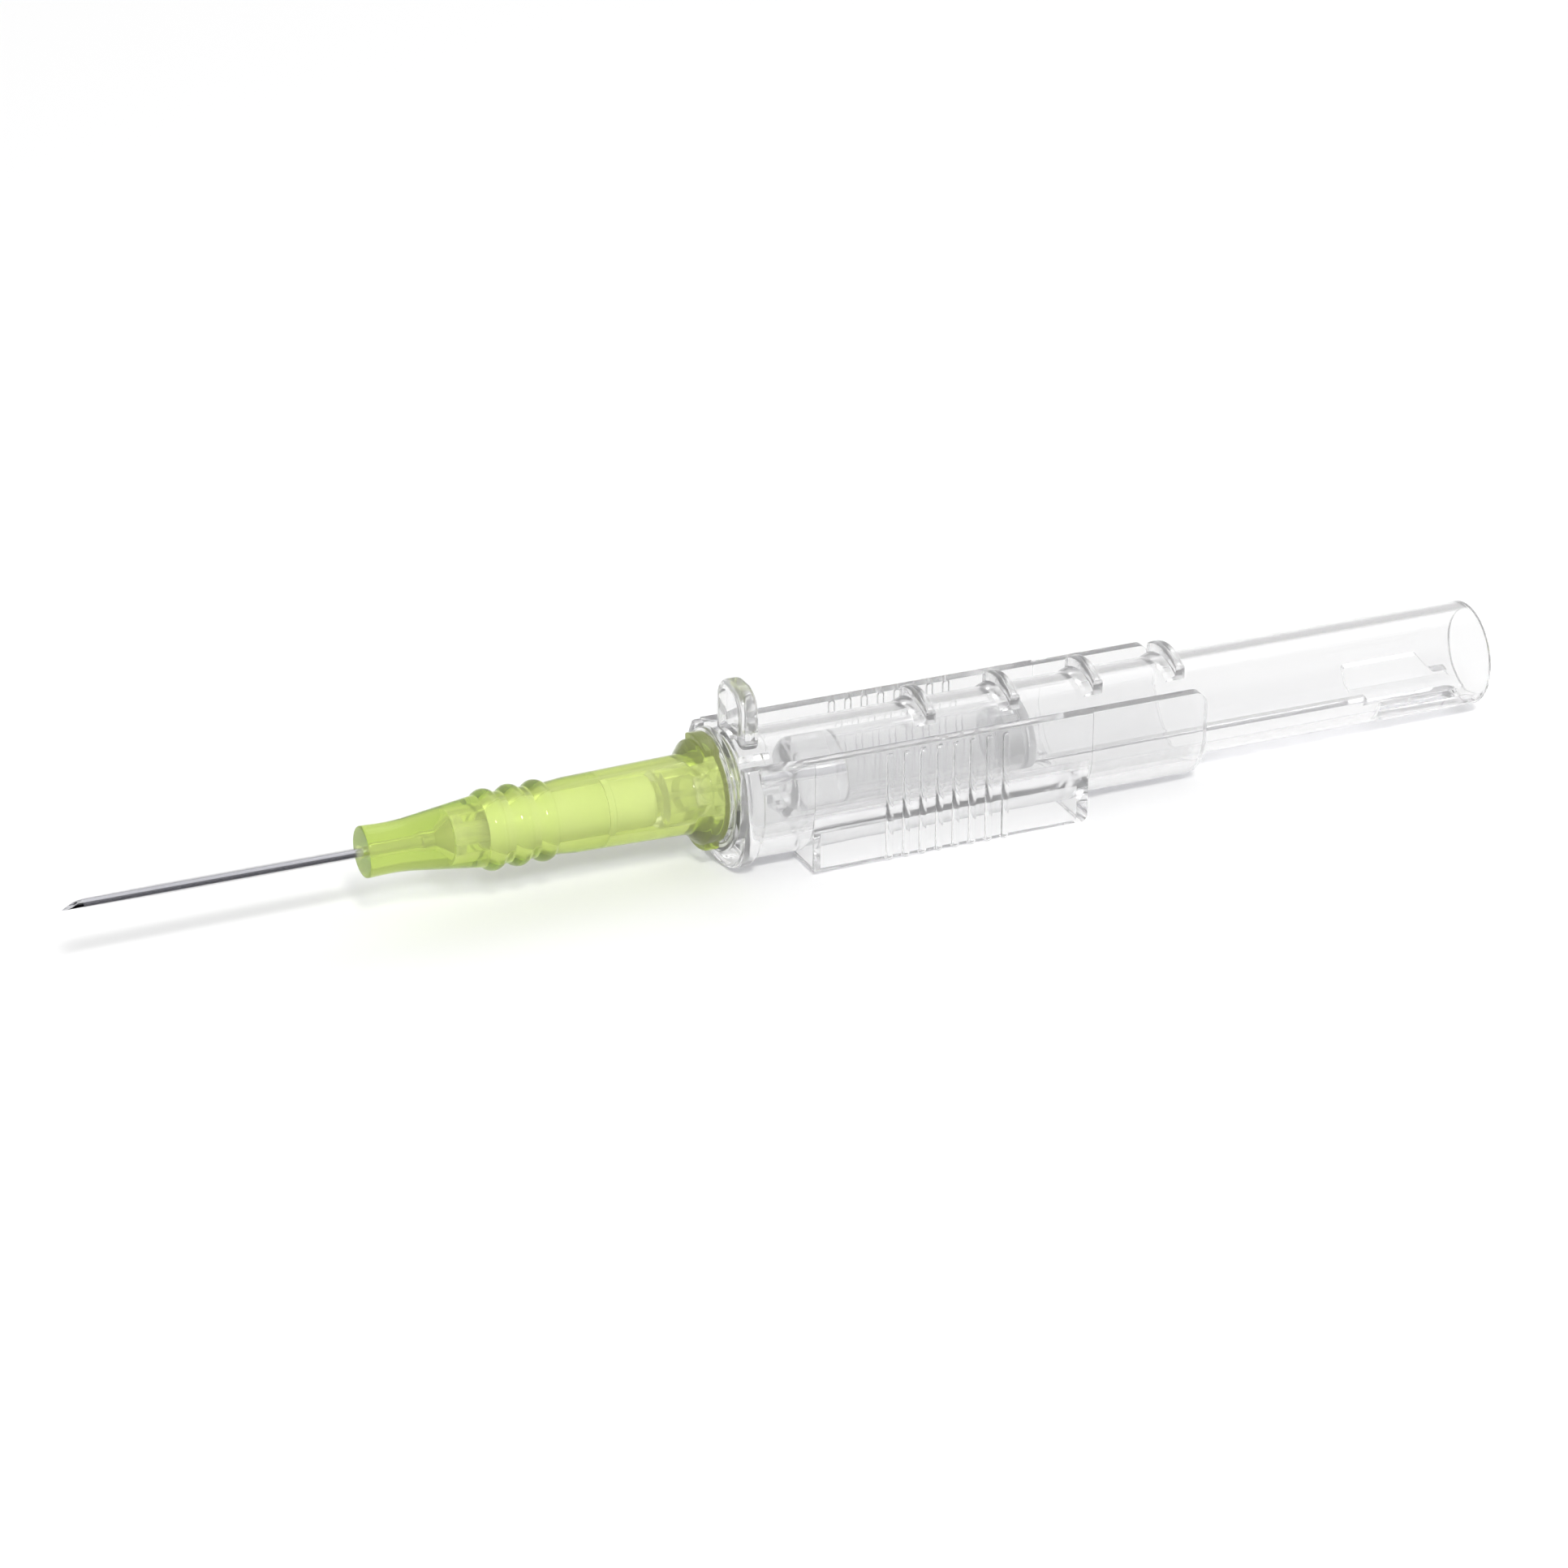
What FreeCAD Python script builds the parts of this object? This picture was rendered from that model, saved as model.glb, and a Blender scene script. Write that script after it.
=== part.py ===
import FreeCAD, Part
import math
import os

os.makedirs("parts", exist_ok=True)
V = FreeCAD.Vector

# Safety intravenous catheter. Lengths in mm. X runs along the device: the needle points to -X, and x = 0 is
# the joint face, where the catheter hub's mouth meets the guard's front ring. The device axis is y = z = 0
# while the pieces are made; at the end all of them move together, so that the origin is at the middle of the
# base of the whole device's box.

# Fits
seat_gap = 0.01            # between pieces that are pressed or bonded together, radial
needle_clearance = 0.02    # needle in the catheter's bore, radial
needle_passage = 0.05      # needle in the guard's and the seal's holes, radial
luer_gap = 0.02            # guard's nose in the hub's mouth, radial
guard_clearance = 0.30     # guard in the housing's channel, radial
slot_clearance = 0.12      # web past the detents of the guard's slot, each side
end_clearance = 0.30       # web short of the ends of the guard's slot

# Needle
needle_od = 0.50
needle_bore = 0.28
needle_reach = 44.75       # needle tip ahead of the joint face
bevel_length = 1.35
needle_rear_x = 8.80       # open rear end, in the flash chamber

# Catheter tube
catheter_od = 0.70
tip_setback = 1.40         # catheter tip behind the needle tip
tip_wall = 0.03
tip_taper = 5.30
flare_wall = 0.08
flare_length = 0.60

# Wedge that holds the tube in the hub
wedge_bore = 0.62
wedge_wall = 0.08
wedge_barrel = 0.80
funnel_depth = 1.10
funnel_d = 2.20

# Catheter hub, outside
hub_length = 24.45
nose_d = 3.47
waist_d = 3.28
waist_from_nose = 2.30
waist_round = 19.0
shoulder_d = 4.88          # just ahead of the first ring rib
neck_d = 4.78              # between and behind the ring ribs
rib_d = 5.44
rib_width = 1.30
rib_pitch = 1.78
rib_count = 3
last_rib_x = -12.20
barrel_front_x = -10.10
barrel_front_d = 5.04
barrel_rear_d = 5.36
rim_d = 7.10
rim_width = 1.20
rim_cone = 0.80
lug_d = 7.90
lug_width = 1.05
lug_half_y = 1.60
hub_edge_round = 0.15

# Catheter hub, inside
luer_mouth_d = 4.27
luer_taper = 0.06          # on the diameter
luer_depth = 7.90
cavity_d = 3.50
front_cavity_d = 2.70
front_cavity_length = 2.40
nose_wall_length = 5.95    # from the nose's face to the front of the cavity

# Valve
post_base_length = 0.80
post_d = 1.60
post_bore = 0.90
post_length = 7.90
seal_od = 3.40
seal_wall = 0.45
seal_head_length = 1.50
seal_flange_length = 0.50
seal_flange_d = 3.72
seal_rear_round = 0.30
seal_rear_gap = 0.15       # seal short of the guard's nose

# Guard
plug_length = 4.25
plug_face_wall = 0.80
plug_bore = 2.40
guard_od = 7.20
guard_wall = 0.65
guard_length = 57.00       # joint face to the open rear end
guard_front_wall = 1.00
ring_d = 8.40
ring_width = 0.50
tab_x = 1.33
tab_thickness = 1.35
tab_half_y = 2.10
tab_top_z = 7.40
tab_corner_round = 1.70
tab_edge_round = 0.35
dish_rim = 0.60
dish_depth = 0.30
foot_height = 0.40
foot_reach = 0.55          # foot past the tab's front and rear faces
foot_half_y = 2.45
ridge_first_x = 15.08
ridge_pitch = 6.17
ridge_count = 4
ridge_thickness = 0.70
ridge_half_y = 2.15
ridge_side_z = 3.95
ridge_top_z = 4.60
ridge_ramp = 0.75
slot_half = 1.40
slot_narrow_half = 0.90
slot_narrow_length = 6.90
slot_end_wall = 0.60       # wall left between the slot and the rear end
detent_from_end = 3.40
detent_length = 0.90
window_x = 48.50           # opening beside the lock zone
window_length = 5.80
window_slant = 0.90
window_top_z = -0.95
window_low_z = -2.60
window_slit_height = 0.45
window_slit_length = 1.20
window_round = 0.40

# Housing
flange_d = 10.90
flange_width = 1.30
flange_top_z = 3.00
flange_round = 0.45
wall_top_z = 2.90
front_barrel_d = 10.10
front_barrel_length = 3.60
rear_barrel_d = 9.40
rear_barrel_length = 8.90
barrel_corner_round = 0.90
wing_length = 20.10
wing_half_y = 4.85
wing_top_z = 2.60
wing_bottom_z = -4.95
wing_round = 0.45
wing_heel_round = 0.50
wing_wall = 0.65           # round the hollow in the wing block's underside
spine_d = 9.70             # channel's outside, within the wing block
grip_count = 8
grip_pitch = 1.209
grip_first = 5.45          # first grip rib behind the wing block's front face
grip_width = 0.50
grip_height = 0.28
grip_over = 0.12           # grip rib past the wing's top and bottom edges
grip_depth = 0.50          # how far in from the wing's face a grip rib starts

# Needle hub with its flash chamber
hub_nose_x = 1.80
hub_nose_d = 1.80
chamber_x = 5.10
chamber_d = 5.00
chamber_wall = 0.60
chamber_length = 16.70
chamber_round = 0.80
glue_well_d = 1.10
glue_well_depth = 1.20
web_length = 7.50
web_half_y = 0.60
web_foot_depth = 0.60      # web let into the housing's floor

# Vent plug and filter
vent_flange_length = 0.70
vent_skirt_length = 2.00
vent_wall = 0.55
vent_hole = 1.20
filter_length = 1.00

# Radii and places worked out from the sizes above
needle_r = needle_od / 2
catheter_bore_r = needle_r + needle_clearance
catheter_r = catheter_od / 2
catheter_tip_x = -needle_reach + tip_setback
hub_nose_face_x = -hub_length
cavity_front_x = hub_nose_face_x + nose_wall_length
funnel_x = cavity_front_x - funnel_depth
wedge_front_x = funnel_x - wedge_barrel
flare_x = wedge_front_x - flare_length
wedge_r = wedge_bore / 2 + wedge_wall
flare_r = wedge_r + flare_wall
cavity_step_x = cavity_front_x + front_cavity_length
luer_end_r = (luer_mouth_d - luer_taper * luer_depth) / 2
guard_r = guard_od / 2
guard_bore_r = guard_r - guard_wall
slot_end_x = guard_length - slot_end_wall
slot_narrow_x = slot_end_x - slot_narrow_length
web_rear_x = chamber_x + web_length
channel_half = guard_r + guard_clearance
flange_x = ring_width
front_barrel_x = flange_x + flange_width
wing_x = front_barrel_x + front_barrel_length
wing_rear_x = wing_x + wing_length
housing_rear_x = wing_rear_x + rear_barrel_length
chamber_rear_x = chamber_x + chamber_length
chamber_bore_r = chamber_d / 2 - chamber_wall


def rounded_wire(corners, place):
    """Closed outline through corners (a, b) or (a, b, round), with each rounded corner as a tangent arc."""
    spots = [V(c[0], c[1], 0) for c in corners]
    rounds = [c[2] if len(c) > 2 else 0 for c in corners]
    count = len(spots)
    joins = []
    for i, (corner, radius) in enumerate(zip(spots, rounds)):
        before, after = spots[i - 1], spots[(i + 1) % count]
        if not radius:
            joins.append((corner, None, corner))
            continue
        u, v = (before - corner), (after - corner)
        longest = 0.49 * min(u.Length, v.Length)
        u.normalize()
        v.normalize()
        half = u.getAngle(v) / 2
        reach = min(radius / math.tan(half), longest)
        radius = reach * math.tan(half)
        middle = (u + v).normalize()
        top = corner + middle * (radius / math.sin(half) - radius)
        joins.append((corner + u * reach, top, corner + v * reach))
    edges = []
    for i, (start, top, end) in enumerate(joins):
        if top is not None:
            edges.append(Part.Arc(place(start), place(top), place(end)).toShape())
        following = joins[(i + 1) % count][0]
        if (following - end).Length > 1e-6:
            edges.append(Part.LineSegment(place(end), place(following)).toShape())
    return Part.Wire(edges)


def turned(corners):
    """Solid of revolution about the device axis; corners are (x, radius) or (x, radius, round)."""
    wire = rounded_wire(corners, lambda p: V(p.x, p.y, 0))
    return Part.Face(wire).revolve(V(0, 0, 0), V(1, 0, 0), 360)


def side_plate(corners, y_from, y_to):
    """Plate with an outline of (x, z) corners, from one y to another."""
    wire = rounded_wire(corners, lambda p: V(p.x, y_from, p.y))
    return Part.Face(wire).extrude(V(0, y_to - y_from, 0))


def cross_plate(corners, x_from, x_to):
    """Bar with a cross-section of (y, z) corners, from one x to another."""
    wire = rounded_wire(corners, lambda p: V(x_from, p.x, p.y))
    return Part.Face(wire).extrude(V(x_to - x_from, 0, 0))


def rod(radius, x_from, x_to):
    """Round bar on the device axis."""
    return Part.makeCylinder(radius, x_to - x_from, V(x_from, 0, 0), V(1, 0, 0))


def block(x_from, x_to, half_y, z_from, z_to):
    """Box centred on the device's middle plane."""
    return Part.makeBox(x_to - x_from, 2 * half_y, z_to - z_from, V(x_from, -half_y, z_from))


def luer_r(x):
    """Radius of the hub's luer cone at a place ahead of the joint face."""
    return (luer_mouth_d + luer_taper * x) / 2


def needle():
    """Steel cannula, ground to a slanted point with its heel on top."""
    tip_x = -needle_reach
    stock = rod(needle_r, tip_x, needle_rear_x).cut(rod(needle_bore / 2, tip_x, needle_rear_x))
    over = needle_od
    slope = needle_od / bevel_length
    ground_off = side_plate(
        [
            (tip_x - over, -needle_r - over * slope),
            (tip_x + bevel_length + over, needle_r + over * slope),
            (tip_x - over, needle_r + over * slope),
        ],
        -over,
        over,
    )
    return stock.cut(ground_off)


def needle_adhesive():
    """Ring of adhesive in the well of the needle hub's nose."""
    bead = rod(glue_well_d / 2 - seat_gap, hub_nose_x, hub_nose_x + glue_well_depth - seat_gap)
    return bead.cut(rod(needle_r + seat_gap, hub_nose_x, hub_nose_x + glue_well_depth))


def catheter_tube():
    """Thin tube with a tapered tip, flared at its rear over the wedge."""
    tip_r = catheter_bore_r + tip_wall
    end_x = funnel_x
    return turned(
        [
            (catheter_tip_x, catheter_bore_r),
            (catheter_tip_x, tip_r),
            (catheter_tip_x + tip_taper, catheter_r, 20.0),
            (flare_x, catheter_r),
            (wedge_front_x, flare_r),
            (end_x, flare_r),
            (end_x, wedge_r + seat_gap),
            (wedge_front_x, wedge_r + seat_gap),
            (flare_x, catheter_bore_r),
        ]
    )


def catheter_wedge():
    """Metal eyelet: a short barrel in the tube's end and a funnel that guides the needle."""
    bore_r = wedge_bore / 2
    rim_r = funnel_d / 2
    return turned(
        [
            (wedge_front_x + seat_gap, bore_r),
            (wedge_front_x + seat_gap, wedge_r),
            (funnel_x, wedge_r),
            (cavity_front_x, rim_r),
            (cavity_front_x, rim_r - wedge_wall),
            (funnel_x, bore_r),
        ]
    )


def hub_outside():
    """Outer form of the catheter hub, with its ring ribs and rim, filled to the axis."""
    rib_r, neck_r, half = rib_d / 2, neck_d / 2, rib_width / 2
    first_rib_x = last_rib_x - (rib_count - 1) * rib_pitch
    body = turned(
        [
            (hub_nose_face_x, 0),
            (hub_nose_face_x, nose_d / 2, hub_edge_round),
            (hub_nose_face_x + waist_from_nose, waist_d / 2, waist_round),
            (first_rib_x - half, shoulder_d / 2),
            (first_rib_x, neck_r),
            (last_rib_x + half, neck_r, rib_width),
            (barrel_front_x, barrel_front_d / 2, rib_width),
            (-rim_width - rim_cone, barrel_rear_d / 2, 2 * hub_edge_round),
            (-rim_width, rim_d / 2, 2 * hub_edge_round),
            (0, rim_d / 2, hub_edge_round),
            (0, 0),
        ]
    )
    for i in range(rib_count):
        x = last_rib_x - i * rib_pitch
        start, top, end = V(x - half, neck_r, 0), V(x, rib_r, 0), V(x + half, neck_r, 0)
        base_r = neck_r - (rib_r - neck_r)
        foot_end, foot_start = V(x + half, base_r, 0), V(x - half, base_r, 0)
        hoop = Part.Wire(
            [
                Part.Arc(start, top, end).toShape(),
                Part.LineSegment(end, foot_end).toShape(),
                Part.LineSegment(foot_end, foot_start).toShape(),
                Part.LineSegment(foot_start, start).toShape(),
            ]
        )
        body = body.fuse(Part.Face(hoop).revolve(V(0, 0, 0), V(1, 0, 0), 360))
    lugs = rod(lug_d / 2, -lug_width, 0).common(block(-lug_width, 0, lug_half_y, -lug_d, lug_d))
    return body.fuse(lugs)


def hub_inside():
    """All that is hollow in the catheter hub: tube bore, funnel seat, valve cavity and luer cone."""
    nose_r = catheter_r + seat_gap
    return turned(
        [
            (hub_nose_face_x - 1, 0),
            (hub_nose_face_x - 1, nose_r),
            (flare_x, nose_r),
            (wedge_front_x, flare_r + seat_gap),
            (funnel_x, flare_r + seat_gap),
            (cavity_front_x, funnel_d / 2 + seat_gap),
            (cavity_front_x, front_cavity_d / 2),
            (cavity_step_x, front_cavity_d / 2),
            (cavity_step_x, cavity_d / 2),
            (-luer_depth, cavity_d / 2),
            (-luer_depth, luer_end_r),
            (1, luer_r(1)),
            (1, 0),
        ]
    )


def catheter_hub():
    """Translucent hub of the catheter."""
    return hub_outside().cut(hub_inside()).removeSplitter()


def valve_post():
    """Hollow post on a round base at the front of the valve cavity."""
    base_x = cavity_front_x + seat_gap
    return turned(
        [
            (base_x, post_bore / 2),
            (base_x, front_cavity_d / 2 - seat_gap, 0.1),
            (base_x + post_base_length, front_cavity_d / 2 - seat_gap, 0.1),
            (base_x + post_base_length, post_d / 2, 0.2),
            (base_x + post_length, post_d / 2, 0.15),
            (base_x + post_length, post_bore / 2),
        ]
    )


def valve_seal():
    """Silicone sleeve over the post, closed behind by a head whose slit the needle holds open."""
    front_x = cavity_step_x + seat_gap
    step_x = -luer_depth + seat_gap
    flange_rear_x = step_x + seal_flange_length
    rear_x = -plug_length - seal_rear_gap
    outer_r = seal_od / 2
    return turned(
        [
            (front_x, outer_r - seal_wall),
            (front_x, outer_r, 0.1),
            (step_x, outer_r),
            (step_x, seal_flange_d / 2),
            (flange_rear_x, seal_flange_d / 2, 0.1),
            (flange_rear_x, outer_r),
            (rear_x, outer_r, seal_rear_round),
            (rear_x, needle_r + needle_passage),
            (rear_x - seal_head_length, needle_r + needle_passage),
            (rear_x - seal_head_length, outer_r - seal_wall, 0.2),
        ]
    )


def push_tab():
    """Arched tab for the fingertip, with a dished front face, on a saddle-shaped foot."""
    arch_z = tab_top_z - tab_corner_round
    rear_x = tab_x + tab_thickness
    root_z = guard_r - guard_wall / 2

    def arch(inset, low_z, x_from, x_to):
        half_y, top_z, corner = tab_half_y - inset, tab_top_z - inset, tab_corner_round - inset
        outline = [(-half_y, low_z), (half_y, low_z), (half_y, top_z, corner), (-half_y, top_z, corner)]
        return cross_plate(outline, x_from, x_to)

    tab = arch(0, root_z, tab_x, rear_x)
    rim = [e for e in tab.Edges if e.BoundBox.XLength < 1e-6 and e.BoundBox.ZMax > arch_z - 0.01]
    tab = tab.makeFillet(tab_edge_round, rim)
    foot_r = guard_r + foot_height
    dish = arch(dish_rim, foot_r + dish_rim / 2, tab_x, tab_x + dish_depth)
    foot_from, foot_to = tab_x - foot_reach / 2, rear_x + foot_reach
    foot = rod(foot_r, foot_from, foot_to).common(block(foot_from, foot_to, foot_half_y, 0, foot_r))
    return tab.cut(dish).fuse(foot)


def thumb_ridge(x):
    """Thin arched ridge across the top of the guard, with a ramp in front of it."""
    front_x, rear_x = x - ridge_thickness / 2, x + ridge_thickness / 2
    low_left, low_right = V(front_x, -ridge_half_y, 0), V(front_x, ridge_half_y, 0)
    left, right = V(front_x, -ridge_half_y, ridge_side_z), V(front_x, ridge_half_y, ridge_side_z)
    blade = Part.Wire(
        [
            Part.LineSegment(low_left, left).toShape(),
            Part.Arc(left, V(front_x, 0, ridge_top_z), right).toShape(),
            Part.LineSegment(right, low_right).toShape(),
            Part.LineSegment(low_right, low_left).toShape(),
        ]
    )
    ridge = Part.Face(blade).extrude(V(ridge_thickness, 0, 0))
    crest = [e for e in ridge.Edges if e.BoundBox.XLength < 1e-6 and e.BoundBox.ZMax > ridge_side_z + 0.01]
    ridge = ridge.makeFillet(0.3 * ridge_thickness, crest)
    rise = (ridge_top_z - guard_r) / 2
    ramp = turned(
        [(front_x - ridge_ramp, 0), (front_x - ridge_ramp, guard_r), (rear_x, guard_r + rise), (rear_x, 0)]
    ).common(block(front_x - ridge_ramp, rear_x, ridge_half_y, 0, ridge_top_z))
    return ridge.fuse(ramp).cut(rod(guard_r - guard_wall / 2, front_x - ridge_ramp - 1, rear_x + 1))


def guard_slot():
    """Cut along the guard's underside for the web: wide, then narrow with two detents and a round end."""
    low_z = -guard_r - 1
    front_x = chamber_x - end_clearance
    wide = block(front_x, slot_narrow_x, slot_half, low_z, 0)
    narrow_end_x = slot_end_x - slot_narrow_half
    narrow = block(slot_narrow_x - 0.01, narrow_end_x, slot_narrow_half, low_z, 0)
    round_end = Part.makeCylinder(slot_narrow_half, -low_z, V(narrow_end_x, 0, low_z), V(0, 0, 1))
    detent_x = slot_end_x - detent_from_end
    bump = slot_narrow_half - web_half_y - slot_clearance
    keep = []
    for side in (-1, 1):
        keep.append(
            Part.Face(
                Part.makePolygon(
                    [
                        V(detent_x - detent_length, side * slot_narrow_half, low_z),
                        V(detent_x, side * (slot_narrow_half - bump), low_z),
                        V(detent_x + detent_length / 3, side * slot_narrow_half, low_z),
                        V(detent_x - detent_length, side * slot_narrow_half, low_z),
                    ]
                )
            ).extrude(V(0, 0, -low_z))
        )
    return wide.fuse([narrow, round_end]).cut(keep[0]).cut(keep[1])


def lock_windows():
    """Openings through both flanks of the lock zone, with slits behind, so that the slot's edges can flex."""
    rear_x = window_x + window_length
    slit_x = rear_x + window_slant
    slit_z = window_low_z + window_slit_height
    return side_plate(
        [
            (window_x, window_top_z, window_round / 2),
            (rear_x, window_top_z, window_round),
            (slit_x, slit_z, window_round),
            (slit_x + window_slit_length, slit_z, window_slit_height / 3),
            (slit_x + window_slit_length, window_low_z, window_slit_height / 3),
            (window_x, window_low_z, window_round / 2),
        ],
        -guard_r - 1,
        guard_r + 1,
    )


def needle_guard():
    """Clear sliding guard: luer nose, stop ring, push tab, ridged tube, slot and lock zone."""
    nose = turned(
        [
            (-plug_length, 0),
            (-plug_length, luer_r(-plug_length) - luer_gap, 0.2),
            (0, luer_r(0) - luer_gap),
            (0, 0),
        ]
    )
    shell = turned(
        [
            (0, 0),
            (0, ring_d / 2, 0.1),
            (ring_width, ring_d / 2, 0.1),
            (ring_width, guard_r),
            (guard_length, guard_r, 0.15),
            (guard_length, 0),
        ]
    )
    body = nose.fuse(shell).fuse(push_tab())
    for i in range(ridge_count):
        body = body.fuse(thumb_ridge(ridge_first_x + i * ridge_pitch))
    hollow = turned(
        [
            (-plug_length - 1, 0),
            (-plug_length - 1, needle_r + needle_passage),
            (-plug_length + plug_face_wall / 2, needle_r + needle_passage),
            (-plug_length + plug_face_wall, plug_bore / 2),
            (guard_front_wall, plug_bore / 2),
            (guard_front_wall, guard_bore_r, 0.3),
            (guard_length + 1, guard_bore_r),
            (guard_length + 1, 0),
        ]
    )
    return body.cut(hollow).cut(guard_slot()).cut(lock_windows()).removeSplitter()


def u_bar(half, top_z, x_from, x_to):
    """Bar with a half-round underside and upright sides, cut flat on top."""
    low = rod(half, x_from, x_to).common(block(x_from, x_to, half, -half, 0))
    return low.fuse(block(x_from, x_to, half, 0, top_z)).removeSplitter()


def grip_ribs():
    """Grip ribs on both flanks of the wing block, each a rounded bar over the whole height."""
    low_z, top_z = wing_bottom_z - grip_over, wing_top_z + grip_over
    inner_y, outer_y = wing_half_y - grip_depth, wing_half_y + grip_height
    bars = []
    for i in range(grip_count):
        x = wing_x + grip_first + i * grip_pitch
        section = [
            (inner_y, low_z),
            (outer_y, low_z, grip_depth),
            (outer_y, top_z, grip_depth),
            (inner_y, top_z),
        ]
        bar = cross_plate(section, x - grip_width / 2, x + grip_width / 2)
        crest = [e for e in bar.Edges if e.BoundBox.XLength < 1e-6 and e.BoundBox.YMax > outer_y - 0.01]
        bar = bar.makeFillet(0.35 * grip_width, crest)
        bars += [bar, bar.mirror(V(0, 0, 0), V(0, 1, 0))]
    return bars


def housing():
    """Clear handle: round flange, front barrel, wing block with grip ribs and rear barrel, open on top."""
    flange = turned(
        [
            (flange_x, 0),
            (flange_x, flange_d / 2, flange_round),
            (front_barrel_x, flange_d / 2, flange_round),
            (front_barrel_x, 0),
        ]
    ).common(block(flange_x, front_barrel_x, flange_d, -flange_d, flange_top_z))
    front_barrel = u_bar(front_barrel_d / 2, wall_top_z, front_barrel_x, wing_x)
    spine = u_bar(spine_d / 2, wall_top_z, wing_x, wing_rear_x)
    wing = side_plate(
        [
            (wing_x, wing_bottom_z),
            (wing_rear_x, wing_bottom_z, wing_heel_round),
            (wing_rear_x, wing_top_z, wing_round),
            (wing_x, wing_top_z, wing_round),
        ],
        -wing_half_y,
        wing_half_y,
    )
    lower = [
        e
        for e in wing.Edges
        if abs(e.BoundBox.ZMax - wing_bottom_z) < 1e-4
        and e.BoundBox.XLength > wing_length / 2
        and e.BoundBox.YLength < 1e-4
    ]
    hollow = block(wing_x + wing_wall, wing_rear_x - wing_wall, wing_half_y - wing_wall, 2 * wing_bottom_z, 0)
    wing = wing.makeFillet(wing_round, lower).cut(hollow.cut(rod(spine_d / 2, wing_x, wing_rear_x)))
    rear_barrel = u_bar(rear_barrel_d / 2, wall_top_z, wing_rear_x, housing_rear_x)
    corner = side_plate(
        [
            (wing_rear_x, -rear_barrel_d),
            (housing_rear_x, -rear_barrel_d),
            (housing_rear_x, wall_top_z, barrel_corner_round),
            (wing_rear_x, wall_top_z),
        ],
        -rear_barrel_d,
        rear_barrel_d,
    )
    body = flange.fuse([front_barrel, spine, wing, rear_barrel.common(corner)] + grip_ribs())
    channel = u_bar(channel_half, flange_d, flange_x - 1, housing_rear_x + 1)
    foot = block(
        chamber_x - seat_gap,
        web_rear_x + seat_gap,
        web_half_y + seat_gap,
        -channel_half - web_foot_depth - seat_gap,
        0,
    )
    return body.cut(channel).cut(foot).removeSplitter()


def needle_hub():
    """Flash chamber with a solid front that holds the needle, and the web that carries it."""
    nose_r = hub_nose_d / 2
    body = turned(
        [
            (hub_nose_x, 0),
            (hub_nose_x, nose_r, 0.15),
            (chamber_x, nose_r),
            (chamber_x, chamber_d / 2, chamber_round),
            (chamber_rear_x, chamber_d / 2, 0.1),
            (chamber_rear_x, 0),
        ]
    )
    web = block(chamber_x, web_rear_x, web_half_y, -channel_half - web_foot_depth, -chamber_bore_r)
    web = web.cut(rod(chamber_bore_r, chamber_x, web_rear_x))
    hollow = turned(
        [
            (hub_nose_x - 1, 0),
            (hub_nose_x - 1, glue_well_d / 2),
            (hub_nose_x + glue_well_depth, glue_well_d / 2),
            (hub_nose_x + glue_well_depth, needle_r + seat_gap),
            (needle_rear_x - seat_gap, needle_r + seat_gap),
            (needle_rear_x - seat_gap, chamber_bore_r, 0.3),
            (chamber_rear_x + 1, chamber_bore_r),
            (chamber_rear_x + 1, 0),
        ]
    )
    front = web.common(rod(chamber_d, chamber_x + chamber_round, web_rear_x))
    low_z = -chamber_d / 2 + chamber_round
    lower = web.common(block(chamber_x, web_rear_x, web_half_y, -2 * chamber_d, low_z))
    return body.fuse([front, lower]).cut(hollow).removeSplitter()


def vent_plug():
    """Stepped plug in the chamber's rear, with a vent hole through its flange."""
    skirt_r = chamber_bore_r - seat_gap
    rear_x = chamber_rear_x + vent_flange_length
    return turned(
        [
            (chamber_rear_x - vent_skirt_length, skirt_r - vent_wall),
            (chamber_rear_x - vent_skirt_length, skirt_r, 0.1),
            (chamber_rear_x, skirt_r),
            (chamber_rear_x, chamber_d / 2, 0.1),
            (rear_x, chamber_d / 2, 0.2),
            (rear_x, vent_hole / 2),
            (chamber_rear_x, vent_hole / 2),
            (chamber_rear_x, skirt_r - vent_wall),
        ]
    )


def vent_filter():
    """Porous disc against the inside of the vent plug's flange."""
    radius = chamber_bore_r - seat_gap - vent_wall - seat_gap
    return rod(radius, chamber_rear_x - filter_length, chamber_rear_x)


pieces = {
    "needle": needle(),
    "needle_adhesive": needle_adhesive(),
    "needle_hub": needle_hub(),
    "vent_plug": vent_plug(),
    "vent_filter": vent_filter(),
    "housing": housing(),
    "needle_guard": needle_guard(),
    "catheter_hub": catheter_hub(),
    "catheter_tube": catheter_tube(),
    "catheter_wedge": catheter_wedge(),
    "valve_post": valve_post(),
    "valve_seal": valve_seal(),
}

base = V(-(guard_length - needle_reach) / 2, 0, flange_d / 2)
for name, shape in pieces.items():
    solid = shape.Solids[0] if len(shape.Solids) == 1 else shape
    solid = solid.copy()
    solid.translate(base)
    solid.exportStep("parts/%s.step" % name)
    box = solid.BoundBox
    print(
        "%-16s solids %d valid %s volume %.3f x %.2f..%.2f y %.2f..%.2f z %.2f..%.2f"
        % (name, len(shape.Solids), shape.isValid(), shape.Volume, box.XMin, box.XMax, box.YMin, box.YMax,
           box.ZMin, box.ZMax)
    )
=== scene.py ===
"""Safety intravenous cannula: finely modelled pieces, finishes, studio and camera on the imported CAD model.

Pieces are modelled in millimetres from the joint face, where the catheter hub's mouth meets the guard's front
ring: X runs back along the device, Y across, Z up through the push tab, and the device axis is y = z = 0.
finish_piece brings each one to metres and to its place in the CAD frame.
"""

import logging
import math
from collections.abc import Callable, Sequence
from dataclasses import dataclass
from enum import Enum

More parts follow.
